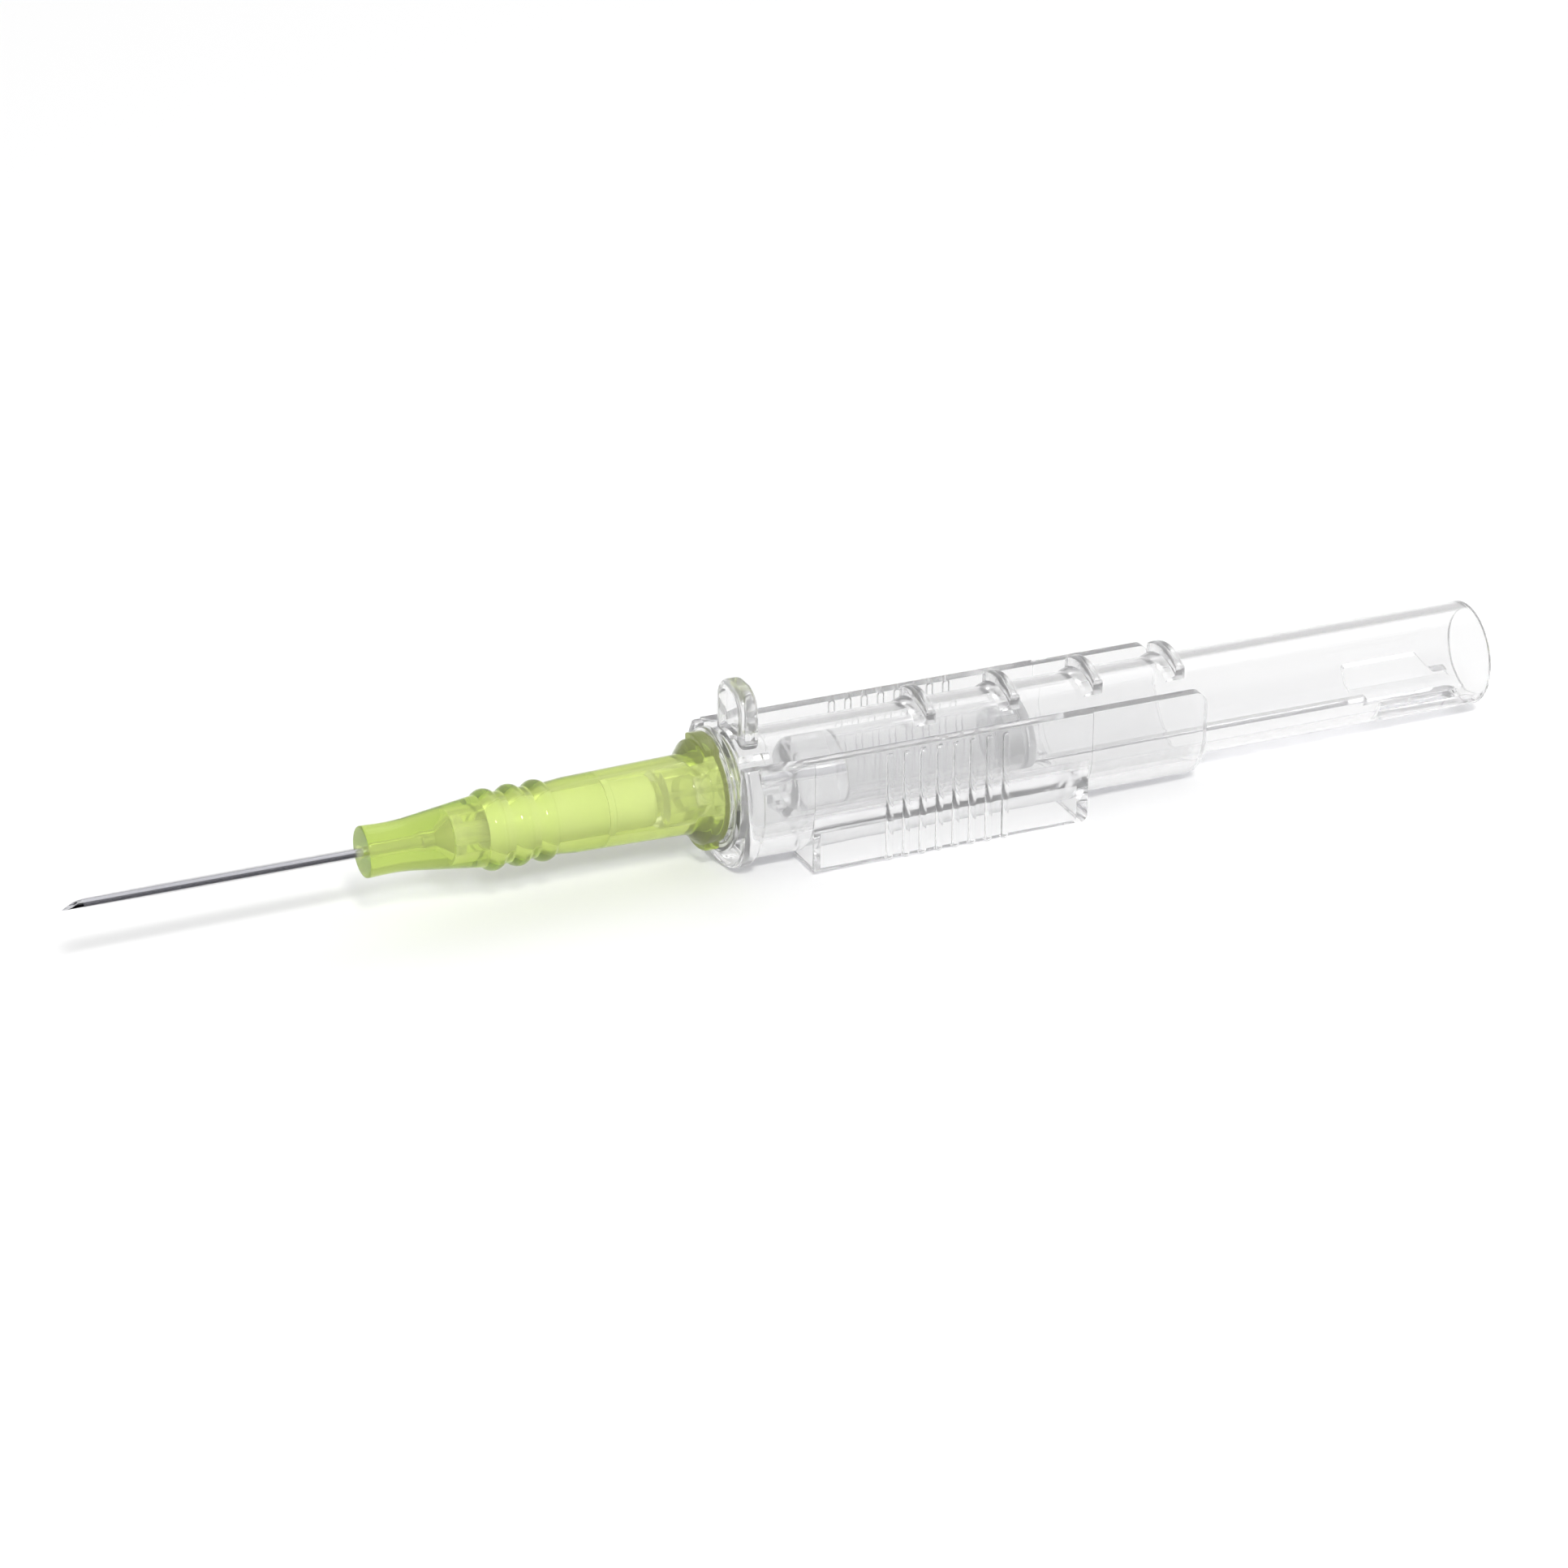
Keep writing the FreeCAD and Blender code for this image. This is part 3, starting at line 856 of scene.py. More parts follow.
@dataclass
class Guard(SubAssembly):
    """Clear sliding guard: luer nose, ring, push tab, ridged tube, slot and lock windows. In millimetres."""

    span: Span = span_of("needle_guard")
    outer_d: float = 7.20
    wall: float = 0.65
    front_wall: float = 1.00
    rear_round: float = 0.15
    bore_round: float = 0.30
    inner_round: float = 0.10
    ring_d: float = 8.40
    ring_width: float = 0.50
    ring_round: float = 0.12
    nose_base_d: float = 4.23
    nose_round: float = 0.20
    luer_taper: float = 0.06
    nose_bore: float = 2.40
    nose_wall: float = 0.80
    needle_hole_d: float = 0.60
    needle_hole_round: float = 0.05
    tab_x: float = 1.33
    tab_thickness: float = 1.35
    tab_half_y: float = 2.10
    tab_top_z: float = 7.40
    tab_corner: float = 1.70
    tab_round: float = 0.38
    dish_rim: float = 0.60
    dish_depth: float = 0.30
    foot_height: float = 0.40
    foot_reach: float = 0.55
    foot_half_y: float = 2.45
    saddle_round: float = 0.10
    ridge_first_x: float = 15.08
    ridge_pitch: float = 6.17
    ridge_count: int = 4
    ridge_thickness: float = 0.70
    ridge_round: float = 0.21
    ridge_half_y: float = 2.15
    ridge_side_z: float = 3.95
    ridge_top_z: float = 4.60
    ridge_ramp: float = 0.75
    ramp_inset: float = 0.02
    slot_front_x: float = 4.80
    slot_half: float = 1.40
    slot_round: float = 0.30
    step_round: float = 0.15
    narrow_half: float = 0.90
    narrow_length: float = 6.90
    slot_end_wall: float = 0.60
    detent_from_end: float = 3.40
    detent_length: float = 0.90
    detent_height: float = 0.18
    detent_round: float = 0.10
    window_x: float = 48.50
    window_length: float = 5.80
    window_slant: float = 0.90
    window_top_z: float = -0.95
    window_low_z: float = -2.60
    slit_height: float = 0.45
    slit_length: float = 1.20
    window_round: float = 0.40
    window_edge: float = 0.09
    near: float = 0.05

    def root(self) -> float:
        """Radius within the tube's wall from which what stands on the tube starts."""
        return self.outer_d / 2 - self.wall / 2

    def shell(self) -> Solid:
        """Turned part: nose, ring and tube in one.

        Returns:
            The hollow turned shell.
        """
        span = self.span
        outer, bore, ring = self.outer_d / 2, self.outer_d / 2 - self.wall, self.ring_d / 2
        nose_tip_r = (self.nose_base_d + self.luer_taper * span.front) / 2
        nose_bore, hole = self.nose_bore / 2, self.needle_hole_d / 2
        section = [
            (span.front, hole, self.needle_hole_round),
            (span.front, nose_tip_r, self.nose_round),
            (0, self.nose_base_d / 2),
            (0, ring, self.ring_round),
            (self.ring_width, ring, self.ring_round),
            (self.ring_width, outer, self.ring_round),
            (span.rear, outer, self.rear_round),
            (span.rear, bore, self.inner_round),
            (self.front_wall, bore, self.bore_round),
            (self.front_wall, nose_bore, self.inner_round),
            (span.front + self.nose_wall, nose_bore, self.inner_round),
            (span.front + self.nose_wall / 2, hole),
        ]
        return lathe("sliding_guard", section)

    def tab(self) -> Solid:
        """Arched push tab with a dished front.

        Returns:
            The tab.
        """
        half, top_z, corner = self.tab_half_y, self.tab_top_z, self.tab_corner
        arch = [(half, self.root()), (half, top_z, corner), (-half, top_z, corner), (-half, self.root())]
        tab = plate("push_tab", arch, Along.X, self.tab_x, self.tab_x + self.tab_thickness)
        edit(tab, Pick.FACES)
        bpy.ops.object.mode_set(mode="OBJECT")
        min(tab.data.polygons, key=lambda face: face.center.x).select = True
        bpy.ops.object.mode_set(mode="EDIT")
        bpy.ops.mesh.inset(thickness=self.dish_rim, use_boundary=True)
        bpy.ops.mesh.inset(thickness=self.dish_depth, depth=-self.dish_depth, use_boundary=True)
        clear_selection()
        return round_edges(tab, self.tab_round, Facets.MANY, self.on_tab_rim)

    def on_tab_rim(self, a: Vector, b: Vector) -> bool:
        """Says whether an edge lies on the front or rear rim of the tab's arch.

        Args:
            a: the edge's first end.
            b: its second end.

        Returns:
            True for an edge of the rim.
        """
        level = abs(a.x - b.x) < MERGE
        out_y = max(abs(a.y), abs(b.y)) - self.tab_half_y + self.tab_corner
        out_z = max(a.z, b.z) - self.tab_top_z + self.tab_corner
        outer = math.hypot(max(0, out_y), max(0, out_z)) > self.tab_corner - self.near
        return level and outer and max(a.z, b.z) > self.outer_d / 2

    def saddle(self, x_from: float, x_to: float, front_r: float, rear_r: float, half_y: float) -> Solid:
        """Thickening that lies over the top of the tube.

        Args:
            x_from: its front.
            x_to: its rear.
            front_r: its radius in front.
            rear_r: its radius behind.
            half_y: how far it reaches to each side.

        Returns:
            The saddle.
        """
        root, edge = self.root(), self.saddle_round
        ring = lathe("saddle", [(x_from, root), (x_from, front_r, edge), (x_to, rear_r, edge), (x_to, root)])
        # The block stays just within the root, so that it doesn't graze the ring's side.
        block = oblong(min(half_y, root * 0.999), 0, self.tab_top_z)
        return combine(ring, plate("saddle_block", block, Along.X, x_from - PAST, x_to + PAST), Way.OVERLAP)

    def ridge(self) -> Solid:
        """Thin arched thumb ridge with rounded hanging ends, at x = 0.

        Returns:
            The ridge.
        """
        half, side_z, root = self.ridge_half_y, self.ridge_side_z, self.root()
        low_z = math.sqrt(root * root - half * half)
        crest = arc_through((-half, side_z), (0, self.ridge_top_z), (half, side_z), ARC_STEPS)
        belly = arc_through((half, low_z), (0, root), (-half, low_z), ARC_STEPS)
        reach = self.ridge_thickness / 2
        blade = plate("thumb_ridge", crest + belly, Along.X, -reach, reach)
        # The front and rear rims, outside the tube.
        return round_edges(
            blade,
            self.ridge_round,
            Facets.SOME,
            lambda a, b: abs(a.x - b.x) < MERGE and min(a.yz.length, b.yz.length) > self.outer_d / 2,
        )

    def on_window(self, a: Vector, b: Vector) -> bool:
        """Says whether an edge runs round a lock window.

        Args:
            a: the edge's first end.
            b: its second end.

        Returns:
            True for an edge of a window.
        """
        end_x = self.window_x + self.window_length + self.window_slant + self.slit_length
        for p in (a, b):
            if not self.window_x - self.near < p.x < end_x + self.near:
                return False
            if not self.window_low_z - self.near < p.z < self.window_top_z + self.near:
                return False
        return abs(math.hypot(a.y, a.z) - math.hypot(b.y, b.z)) < self.wall / 2

    def slot_tool(self) -> Solid:
        """Cutter for the slot along the underside: wide, then narrow with two detents and a round end.

        Returns:
            The cutter.
        """
        end_x = self.span.rear - self.slot_end_wall
        narrow_x = end_x - self.narrow_length
        detent_x = end_x - self.detent_from_end
        narrow = self.narrow_half
        half = [
            (self.slot_front_x, self.slot_half, self.slot_round),
            (narrow_x, self.slot_half, self.step_round),
            (narrow_x, narrow, self.step_round),
            (detent_x - self.detent_length, narrow, 2 * self.detent_round),
            (detent_x, narrow - self.detent_height, self.detent_round),
            (detent_x + self.detent_length / 3, narrow, self.detent_round),
            (end_x, narrow, narrow),
        ]
        other = [(x, -y, *rest) for x, y, *rest in reversed(half)]
        return plate("slot_tool", half + other, Along.Z, -self.outer_d, 0)

    def window_tool(self) -> Solid:
        """Cutter for the windows through both flanks of the lock zone, each with a slit behind.

        Returns:
            The cutter.
        """
        rear_x = self.window_x + self.window_length
        slit_x = rear_x + self.window_slant
        slit_z = self.window_low_z + self.slit_height
        end_x = slit_x + self.slit_length
        outline = [
            (self.window_x, self.window_top_z, self.window_round / 2),
            (rear_x, self.window_top_z, self.window_round),
            (slit_x, slit_z, self.window_round),
            (end_x, slit_z, self.slit_height / 3),
            (end_x, self.window_low_z, self.slit_height / 3),
            (self.window_x, self.window_low_z, self.window_round / 2),
        ]
        return plate("window_tool", outline, Along.Y, -self.outer_d, self.outer_d)

    def build(self) -> None:
        """Models the guard and dresses it."""
        guard = self.shell()
        combine(guard, self.slot_tool(), Way.CUT)
        combine(guard, self.window_tool(), Way.CUT)
        round_edges(guard, self.window_edge, Facets.FEW, self.on_window)
        outer = self.outer_d / 2
        foot_r = outer + self.foot_height
        foot_x = self.tab_x - self.foot_reach / 2
        foot_rear = self.tab_x + self.tab_thickness + self.foot_reach
        combine(guard, self.saddle(foot_x, foot_rear, foot_r, foot_r, self.foot_half_y), Way.JOIN)
        combine(guard, self.tab(), Way.JOIN)
        half, ramp_r = self.ridge_thickness / 2, (outer + self.ridge_top_z) / 2
        ramp_rear, ramp_half = half - self.ramp_inset / 2, self.ridge_half_y - self.ramp_inset
        ramp = self.saddle(-half - self.ridge_ramp, ramp_rear, outer, ramp_r, ramp_half)
        ridge = combine(ramp, self.ridge(), Way.JOIN)
        combine(guard, row_of(ridge, self.ridge_first_x, self.ridge_pitch, self.ridge_count), Way.JOIN)
        finish_piece(guard, Body.GUARD, self.finishes.clear, "needle_guard")


@dataclass
class Housing(SubAssembly):
    """Clear open-topped handle: flange, barrels and hollow wing block with grip ribs. In millimetres."""

    span: Span = span_of("housing")
    flange_x: float = 0.50
    flange_width: float = 1.30
    flange_top_z: float = 3.00
    flange_round: float = 0.45
    wall_top_z: float = 2.90
    lip_round: float = 0.12
    overlap: float = 0.30
    channel_half: float = 3.90
    front_barrel_d: float = 10.10
    front_barrel_length: float = 3.60
    spine_d: float = 9.70
    rear_barrel_d: float = 9.40
    rear_barrel_length: float = 8.90
    barrel_corner: float = 0.90
    wing_half_y: float = 4.85
    wing_top_z: float = 2.60
    wing_bottom_z: float = -4.95
    wing_round: float = 0.45
    heel_round: float = 0.50
    wing_wall: float = 0.65
    grip_count: int = 8
    grip_pitch: float = 1.209
    grip_first: float = 5.45
    grip_width: float = 0.50
    grip_round: float = 0.21
    grip_height: float = 0.28
    grip_over: float = 0.12
    grip_depth: float = 0.50
    grip_root: float = 0.02
    web_half: float = 0.61
    web_from: float = 5.09
    web_to: float = 12.61
    web_depth: float = 0.61

    def trough(self, name: str, half: float, top_z: float, x_from: float, x_to: float) -> Solid:
        """Bar with a half-round underside and upright sides.

        Args:
            name: name of the new object.
            half: its radius and half its width.
            top_z: height of its flat top.
            x_from: its front.
            x_to: its rear.

        Returns:
            The bar.
        """
        under = arc_through((-half, 0), (0, -half), (half, 0), TURN_STEPS // 2)
        corners = [*under, (half, top_z, self.lip_round), (-half, top_z, self.lip_round)]
        return plate(name, corners, Along.X, x_from, x_to)

    def flange(self, radius: float) -> Solid:
        """Round front flange, cut flat on top.

        Args:
            radius: the flange's radius.

        Returns:
            The flange.
        """
        front_x, rear_x, edge = self.flange_x, self.flange_x + self.flange_width, self.flange_round
        section = [(front_x, 0), (front_x, radius, edge), (rear_x, radius, edge), (rear_x, 0)]
        disc = lathe("handle_flange", section)
        edit(disc, Pick.POINTS, "SELECT")
        top = {"plane_co": (0, 0, self.flange_top_z), "plane_no": (0, 0, 1)}
        bpy.ops.mesh.bisect(**top, use_fill=True, clear_outer=True)
        close_up(disc)
        top_z = self.flange_top_z - MERGE
        return round_edges(disc, self.lip_round, Facets.FEW, lambda a, b: min(a.z, b.z) > top_z)

    def wing(self, x_from: float, x_to: float) -> Solid:
        """Wing block, hollow from below round the spine.

        Args:
            x_from: its front.
            x_to: its rear.

        Returns:
            The wing block.
        """
        low_z, wall = self.wing_bottom_z, self.wing_wall
        side = [
            (x_from, low_z),
            (x_to, low_z, self.heel_round),
            (x_to, self.wing_top_z, self.wing_round),
            (x_from, self.wing_top_z, self.wing_round),
        ]
        block = plate("wing_block", side, Along.Y, -self.wing_half_y, self.wing_half_y)
        # The two long edges of the underside.
        round_edges(
            block,
            self.wing_round,
            Facets.MANY,
            lambda a, b: abs(a.x - b.x) > self.wing_half_y and max(a.z, b.z) < low_z + MERGE,
        )
        section = oblong(self.wing_half_y - wall, 2 * low_z, 0)
        hollow = plate("wing_hollow", section, Along.X, x_from + wall, x_to - wall)
        combine(hollow, self.trough("core", self.spine_d / 2, PAST, x_from, x_to), Way.CUT)
        return combine(block, hollow, Way.CUT)

    def grips(self, x_from: float) -> Solid:
        """Grip ribs of both flanks in one object.

        Args:
            x_from: front of the wing block.

        Returns:
            All ribs.
        """
        low_z, top_z = self.wing_bottom_z - self.grip_over, self.wing_top_z + self.grip_over
        inner, outer = self.wing_half_y - self.grip_depth, self.wing_half_y + self.grip_height
        edge, half = self.grip_depth, self.grip_width / 2
        section = [(inner, low_z), (outer, low_z, edge), (outer, top_z, edge), (inner, top_z)]
        bar = plate("grip_rib", section, Along.X, -half, half)
        # The front and rear rims, away from the root.
        root = inner + self.grip_root
        round_edges(
            bar, self.grip_round, Facets.SOME, lambda a, b: abs(a.x - b.x) < MERGE and max(a.y, b.y) > root
        )
        return row_of(bar, x_from + self.grip_first, self.grip_pitch, self.grip_count, (False, True))

    def build(self) -> None:
        """Models the handle and dresses it."""
        span, top_z, over, far = self.span, self.wall_top_z, self.overlap, self.rear_barrel_d
        barrel_x = self.flange_x + self.flange_width
        wing_x = barrel_x + self.front_barrel_length
        wing_rear = span.rear - self.rear_barrel_length
        body = self.trough("handle_housing", self.spine_d / 2, top_z, wing_x - over, wing_rear + over)
        front = self.trough("front_barrel", self.front_barrel_d / 2, top_z, barrel_x - over, wing_x)
        rear = self.trough("rear_barrel", self.rear_barrel_d / 2, top_z, wing_rear, span.rear)
        side = [
            (wing_rear - PAST, -far),
            (span.rear, -far),
            (span.rear, top_z, self.barrel_corner),
            (wing_rear - PAST, top_z),
        ]
        combine(rear, plate("barrel_corner", side, Along.Y, -far, far), Way.OVERLAP)
        flange, wing = self.flange(span.across / 2), self.wing(wing_x, wing_rear)
        for part in (front, rear, flange, wing, self.grips(wing_x)):
            combine(body, part, Way.JOIN)
        combine(body, self.trough("channel", self.channel_half, far, -PAST, span.rear + PAST), Way.CUT)
        seat = oblong(self.web_half, -self.channel_half - self.web_depth, 0)
        combine(body, plate("web_seat", seat, Along.X, self.web_from, self.web_to), Way.CUT)
        finish_piece(body, Body.HANDLE, self.finishes.clear, "housing")


@dataclass
class Catheter(SubAssembly):
    """Thin catheter in its translucent hub, with wedge and valve. Lengths in millimetres."""

    hub_span: Span = span_of("catheter_hub")
    tube_span: Span = span_of("catheter_tube")
    nose_d: float = 3.47
    waist_d: float = 3.28
    waist_from_nose: float = 2.30
    waist_round: float = 19.0
    neck_d: float = 4.78
    rib_d: float = 5.44
    rib_width: float = 1.30
    rib_pitch: float = 1.78
    rib_count: int = 3
    rib_steps: int = 16
    last_rib_x: float = -12.20
    barrel_front_x: float = -10.10
    barrel_front_d: float = 5.04
    barrel_rear_d: float = 5.36
    rim_d: float = 7.10
    rim_width: float = 1.20
    rim_cone: float = 0.80
    lug_d: float = 7.90
    lug_width: float = 1.05
    lug_half_y: float = 1.60
    lug_round: float = 0.10
    edge_round: float = 0.15
    mouth_round: float = 0.05
    luer_mouth_d: float = 4.27
    luer_taper: float = 0.06
    luer_depth: float = 7.90
    cavity_d: float = 3.50
    front_cavity_d: float = 2.70
    front_cavity_length: float = 2.40
    nose_wall_length: float = 5.95
    funnel_depth: float = 1.10
    funnel_d: float = 2.20
    barrel_length: float = 0.80
    tube_d: float = 0.70
    tube_bore: float = 0.54
    tip_wall: float = 0.03
    tip_taper: float = 5.30
    taper_round: float = 20.0
    flare_r: float = 0.47
    flare_length: float = 0.60
    gap: float = 0.01

    def hub(self) -> Solid:
        """Hub with its ring ribs, rim, lugs and hollows.

        Returns:
            The hub.
        """
        span = self.hub_span
        rib_r, neck_r, half = self.rib_d / 2, self.neck_d / 2, self.rib_width / 2
        outside: list[tuple[float, ...]] = [
            (span.front, self.nose_d / 2, self.edge_round),
            (span.front + self.waist_from_nose, self.waist_d / 2, self.waist_round),
        ]
        for i in reversed(range(self.rib_count)):
            x = self.last_rib_x - i * self.rib_pitch
            outside += arc_through((x - half, neck_r), (x, rib_r), (x + half, neck_r), self.rib_steps)
        outside += [
            (self.barrel_front_x, self.barrel_front_d / 2, self.rib_width),
            (-self.rim_width - self.rim_cone, self.barrel_rear_d / 2, 2 * self.edge_round),
            (-self.rim_width, self.rim_d / 2, 2 * self.edge_round),
            (0, self.rim_d / 2, self.edge_round),
        ]
        cavity_x = span.front + self.nose_wall_length
        funnel_x = cavity_x - self.funnel_depth
        flare_x = funnel_x - self.barrel_length - self.flare_length
        step_x = cavity_x + self.front_cavity_length
        luer_end_d = self.luer_mouth_d - self.luer_taper * self.luer_depth
        flare_r, hole = self.flare_r + self.gap, self.tube_d / 2 + self.gap
        inside = [
            (0, self.luer_mouth_d / 2, self.mouth_round),
            (-self.luer_depth, luer_end_d / 2),
            (-self.luer_depth, self.cavity_d / 2),
            (step_x, self.cavity_d / 2),
            (step_x, self.front_cavity_d / 2),
            (cavity_x, self.front_cavity_d / 2),
            (cavity_x, self.funnel_d / 2 + self.gap),
            (funnel_x, flare_r),
            (flare_x + self.flare_length, flare_r),
            (flare_x, hole),
            (span.front, hole, self.mouth_round),
        ]
        hub = lathe("catheter_luer_hub", outside + inside)
        root, top = self.barrel_rear_d / 2, self.lug_d / 2
        front_x = -self.lug_width
        section = [(front_x, root), (front_x, top, self.lug_round), (0, top, self.edge_round), (0, root)]
        lugs = lathe("luer_lugs", section)
        block = oblong(self.lug_half_y, -self.lug_d, self.lug_d)
        combine(lugs, plate("lug_block", block, Along.X, -self.lug_d, self.lug_d), Way.OVERLAP)
        return combine(hub, lugs, Way.JOIN)

    def tube(self) -> Solid:
        """Thin tube with a tapered tip, flared over the wedge.

        Returns:
            The tube.
        """
        span = self.tube_span
        funnel_x = self.hub_span.front + self.nose_wall_length - self.funnel_depth
        wedge_x = funnel_x - self.barrel_length
        bore, outer = self.tube_bore / 2, self.tube_d / 2
        flare_bore = self.flare_r - (outer - bore) + self.gap
        section = [
            (span.front, bore),
            (span.front, bore + self.tip_wall, self.tip_wall / 3),
            (span.front + self.tip_taper, outer, self.taper_round),
            (wedge_x - self.flare_length, outer),
            (wedge_x, self.flare_r),
            (funnel_x, self.flare_r),
            (funnel_x, flare_bore),
            (wedge_x, flare_bore),
            (wedge_x - self.flare_length, bore),
        ]
        return lathe("catheter_shaft", section, THIN_STEPS)

    def build(self) -> None:
        """Models the hub and the tube and dresses them with what the hub holds."""
        finish_piece(self.hub(), Body.CATHETER, self.finishes.green, "catheter_hub")
        finish_piece(self.tube(), Body.CATHETER, self.finishes.tube, "catheter_tube")
        dress_node("catheter_wedge", self.finishes.eyelet)
        dress_node("valve_post", self.finishes.frosted)
        dress_node("valve_seal", self.finishes.silicone)


@dataclass(frozen=True)
class Lamp:
    """Round soft lamp that faces the device. Place and diameter in millimetres, power in watts."""

    name: str
    at: Place
    size: float
    power: float

    def hang(self) -> None:
        """Adds the lamp to the scene."""
        light = bpy.data.lights.new(self.name, "AREA")
        light.shape = "DISK"
        light.size = self.size * MM
        light.energy = self.power
        lamp = bpy.data.objects.new(self.name, light)
        bpy.context.scene.collection.objects.link(lamp)
        at = Vector(self.at)
        lamp.location = at * MM
        lamp.rotation_euler = (-at).to_track_quat("-Z", "Y").to_euler()


@dataclass
class Studio:
    """Camera, floor, surroundings and lamps. Lengths in millimetres, elevations in degrees."""

    camera_at: Place = (-161.937, -358.888, 187.596)
    camera_right: Place = (0.913342, -0.407148, 0.006065)
    camera_up: Place = (0.166511, 0.38704, 0.906904)
    lens: float = 150.304
    film: float = 36.0
    nearest: float = 10.0
    flange_x: float = -4.97
    wing_rear_x: float = 18.50
    flange_drop: float = 0.50
    floor_size: float = 6000.0
    floor_colour: str = "F3F3F3"
    # Painted dark reflection: the floor's colour only as metal mirrors it.
    floor_painted_dark_for_metal: str = "0C0C0E"
    floor_through: float = 0.8
    backdrop: float = 0.62
    front_wall: float = 1.0
    # Painted dark reflection: the wall in front only as metal mirrors it.
    front_wall_painted_dark_for_metal: float = 0.06
    wall_low: float = 3.0
    wall_low_fade: float = 5.0
    wall_high: float = 27.0
    wall_high_fade: float = 13.0
    side_fade: float = 0.25
    room_light: float = 0.64
    lamps: tuple[Lamp, ...] = (
        Lamp("key", (-400.0, -1400.0, 1320.0), 300.0, 28.0),
        Lamp("fill", (250.0, 250.0, 450.0), 350.0, 0.3),
    )
    clear_bounces: int = 24
    glossy_bounces: int = 8

    def camera(self) -> None:
        """Sets the camera where the photograph was taken from."""
        lens = bpy.data.cameras.new("camera")
        lens.lens = self.lens
        lens.sensor_width = self.film
        lens.sensor_fit = "HORIZONTAL"
        lens.clip_start = self.nearest * MM
        camera = bpy.data.objects.new("camera", lens)
        bpy.context.scene.collection.objects.link(camera)
        right, up = Vector(self.camera_right), Vector(self.camera_up)
        turn = Matrix((right, up, right.cross(up))).transposed().to_4x4()
        camera.matrix_world = Matrix.Translation(Vector(self.camera_at) * MM) @ turn
        bpy.context.scene.camera = camera

    def floor(self) -> None:
        """Lays a pale floor under the device, which rests on its flange's rim and its wing block's heel.

        Clear walls show the floor mostly as plain white. Satin metal sees it near black, a painted dark
        reflection that paints shade along the needle's underside.
        """
        slope = self.flange_drop / (self.wing_rear_x - self.flange_x)
        clear_selection()
        bpy.ops.mesh.primitive_plane_add(size=self.floor_size * MM)
        floor = bpy.context.object
        floor.name = "floor"
        floor.rotation_euler = (0, -math.atan(slope), 0)
        floor.location = (0, 0, -self.flange_x * slope * MM)
        made = bpy.data.materials.new("floor_paper")
        tree = empty_tree(made)
        path, mirrored = metal_rays(tree)
        through = {0: path.outputs["Is Transmission Ray"], 1: self.floor_through}
        share = add(tree, "Math", through, operation="MULTIPLY")
        paper = add(tree, "BsdfDiffuse", {"Color": linear(self.floor_colour)})
        white = add(tree, "Emission", {"Strength": 1.0})
        pale = add(tree, "MixShader", {0: share, 1: paper, 2: white})
        # Painted dark reflection: only metal is shown this near-black floor, which paints shade on the
        # needle's underside.
        dark = add(tree, "BsdfDiffuse", {"Color": linear(self.floor_painted_dark_for_metal)})
        mix = add(tree, "MixShader", {0: mirrored, 1: pale, 2: dark})
        add(tree, "OutputMaterial", {"Surface": mix})
        floor.data.materials.append(made)

    def ramp_place(self, elevation: float) -> float:
        """Place on the room's ramp of an elevation in degrees."""
        return (math.sin(math.radians(elevation)) + 1) / 2

    def surroundings(self) -> None:
        """Sets the room: white, with a low wall that is grey behind the device and light in front of it.

        Satin metal sees the wall in front dark, a painted dark reflection that only metal is shown; matt
        surfaces see the whole room dimmed, and the camera sees plain white.
        """
        world = bpy.data.worlds.new("room")
        bpy.context.scene.world = world
        tree = empty_tree(world)
        place = add(tree, "TexCoord", {}).outputs["Generated"]
        way = add(tree, "SeparateXYZ", {0: place}).outputs
        rise = add(tree, "MapRange", {"Value": way["Z"], "From Min": -1.0, "From Max": 1.0})
        walls = add(tree, "ValToRGB", {0: rise})
        stripes = walls.color_ramp.elements
        stripes[0].position = self.ramp_place(self.wall_low - self.wall_low_fade)
        stripes[1].position = self.ramp_place(self.wall_low)
        stripes.new(self.ramp_place(self.wall_high)).color = linear("FFFFFF")
        stripes.new(self.ramp_place(self.wall_high + self.wall_high_fade)).color = linear("000000")
        path, mirrored = metal_rays(tree)
        # Painted dark reflection: the wall in front is light to every ray except those that metal mirrors.
        tones = {"To Min": self.front_wall, "To Max": self.front_wall_painted_dark_for_metal}
        front = add(tree, "MapRange", {"Value": mirrored, **tones})
        sides = {"From Min": -self.side_fade, "From Max": self.side_fade}
        side = add(tree, "MapRange", {"Value": way["Y"], **sides})
        wall = add(tree, "Mix", {0: side, 2: front, 3: self.backdrop})
        room = add(tree, "Mix", {0: walls, 2: 1.0, 3: wall})
        matt = path.outputs["Is Diffuse Ray"]
        level = add(tree, "MapRange", {"Value": matt, "To Min": 1.0, "To Max": self.room_light})
        lit = add(tree, "Background", {"Color": room, "Strength": level})
        white = add(tree, "Background", {"Color": linear("FFFFFF")})
        mix = add(tree, "MixShader", {0: path.outputs["Is Camera Ray"], 1: lit, 2: white})
        add(tree, "OutputWorld", {"Surface": mix})

    def build(self) -> None:
        """Sets up the whole studio."""
        self.camera()
        self.floor()
        self.surroundings()
        for lamp in self.lamps:
            lamp.hang()
        scene = bpy.context.scene
        scene.view_settings.view_transform = "Standard"
        scene.cycles.max_bounces = self.clear_bounces
        scene.cycles.transmission_bounces = self.clear_bounces
        scene.cycles.transparent_max_bounces = self.clear_bounces
        scene.cycles.glossy_bounces = self.glossy_bounces
        log.info("studio: camera, floor, room and %d lamps", len(self.lamps))


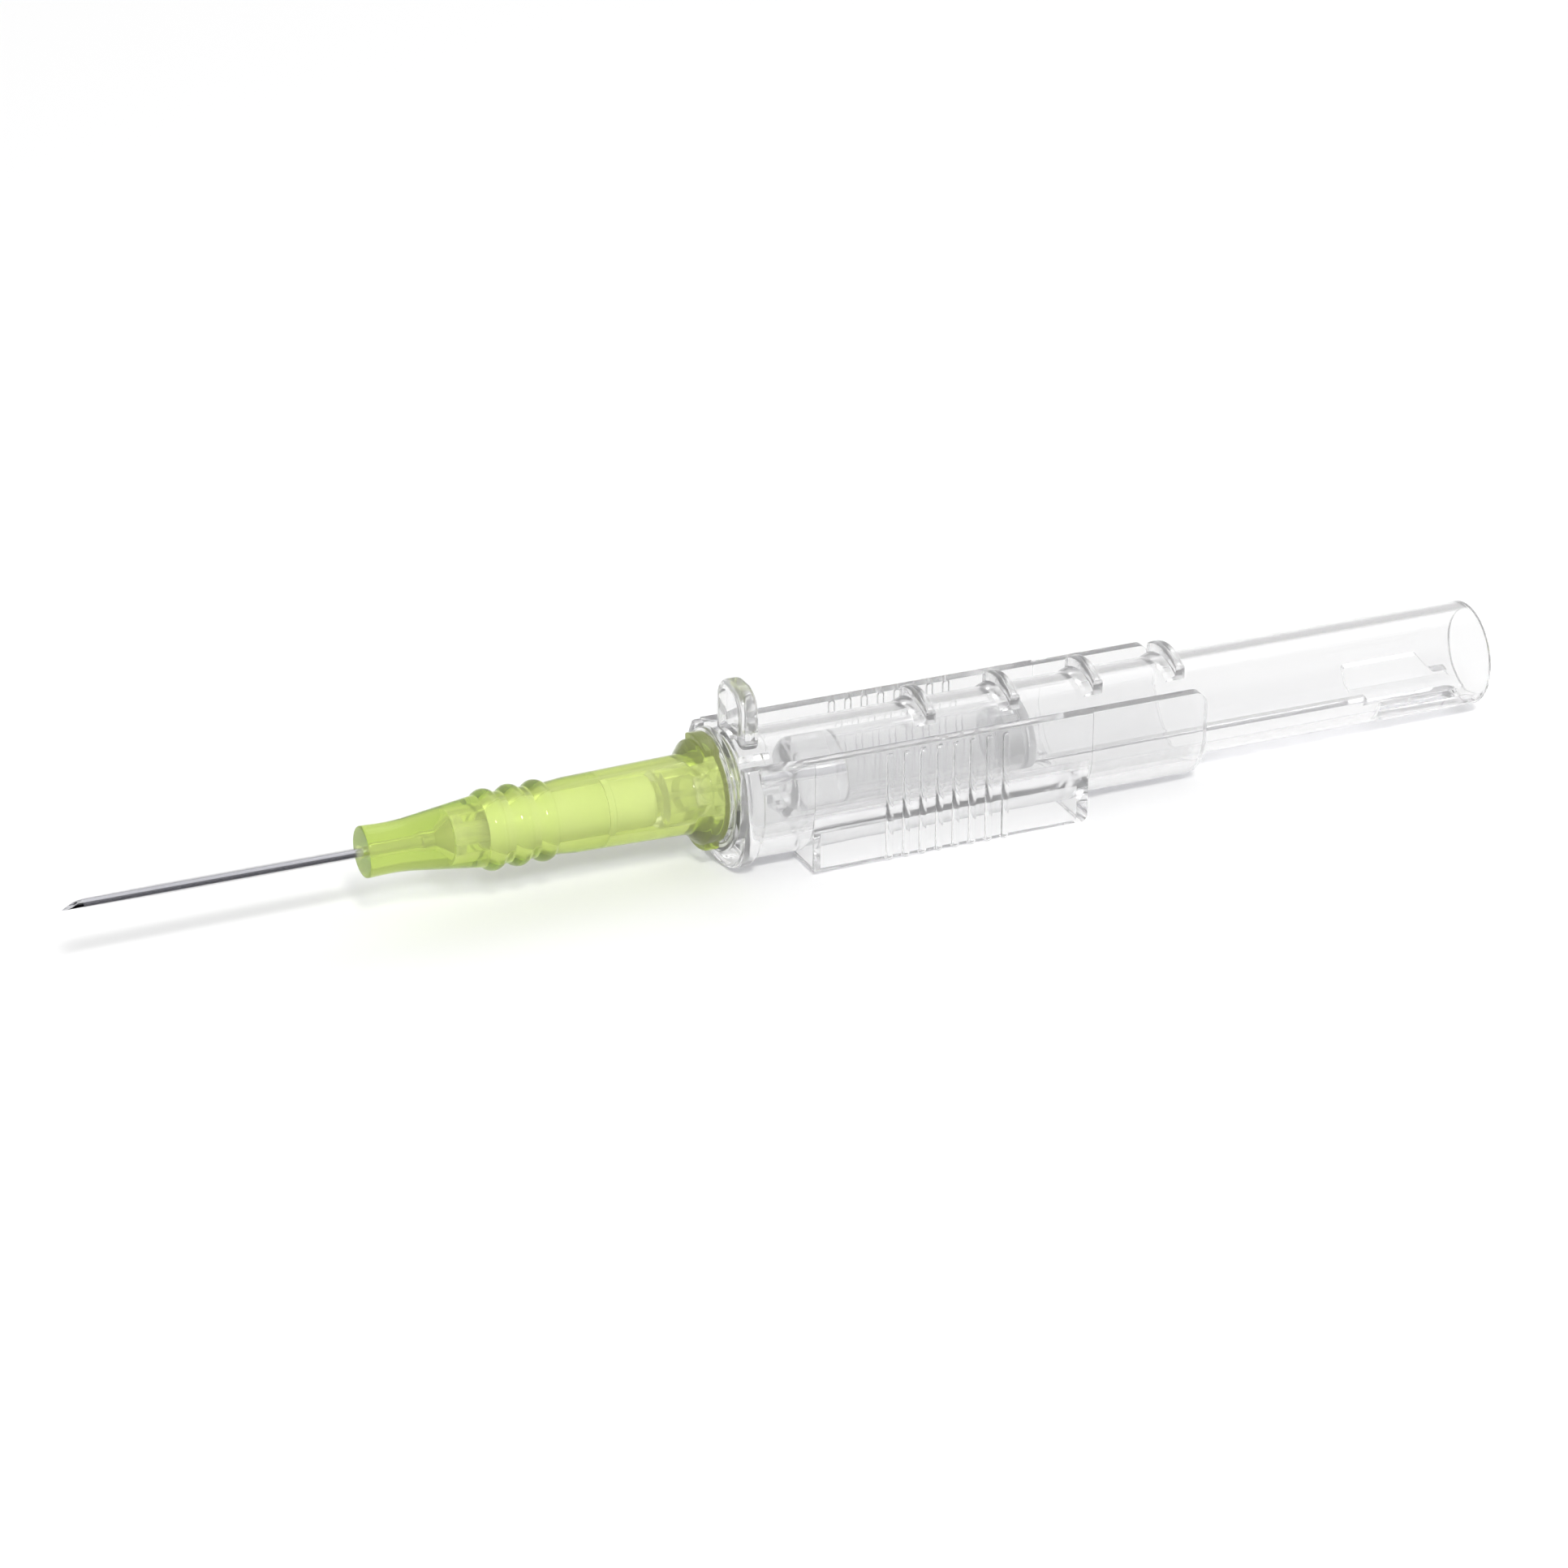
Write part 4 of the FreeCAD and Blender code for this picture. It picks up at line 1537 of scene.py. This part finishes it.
def main() -> None:
    """Builds every sub-assembly and the studio."""
    logging.basicConfig(level=logging.INFO, format="%(name)s: %(message)s")
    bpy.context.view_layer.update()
    finishes = Finishes()
    for assembly in (Needle, FlashChamber, Guard, Housing, Catheter):
        assembly(finishes).build()
        log.info("%s built", assembly.__name__)
    Studio().build()
    clear_selection()


if __name__ == "__main__":
    main()
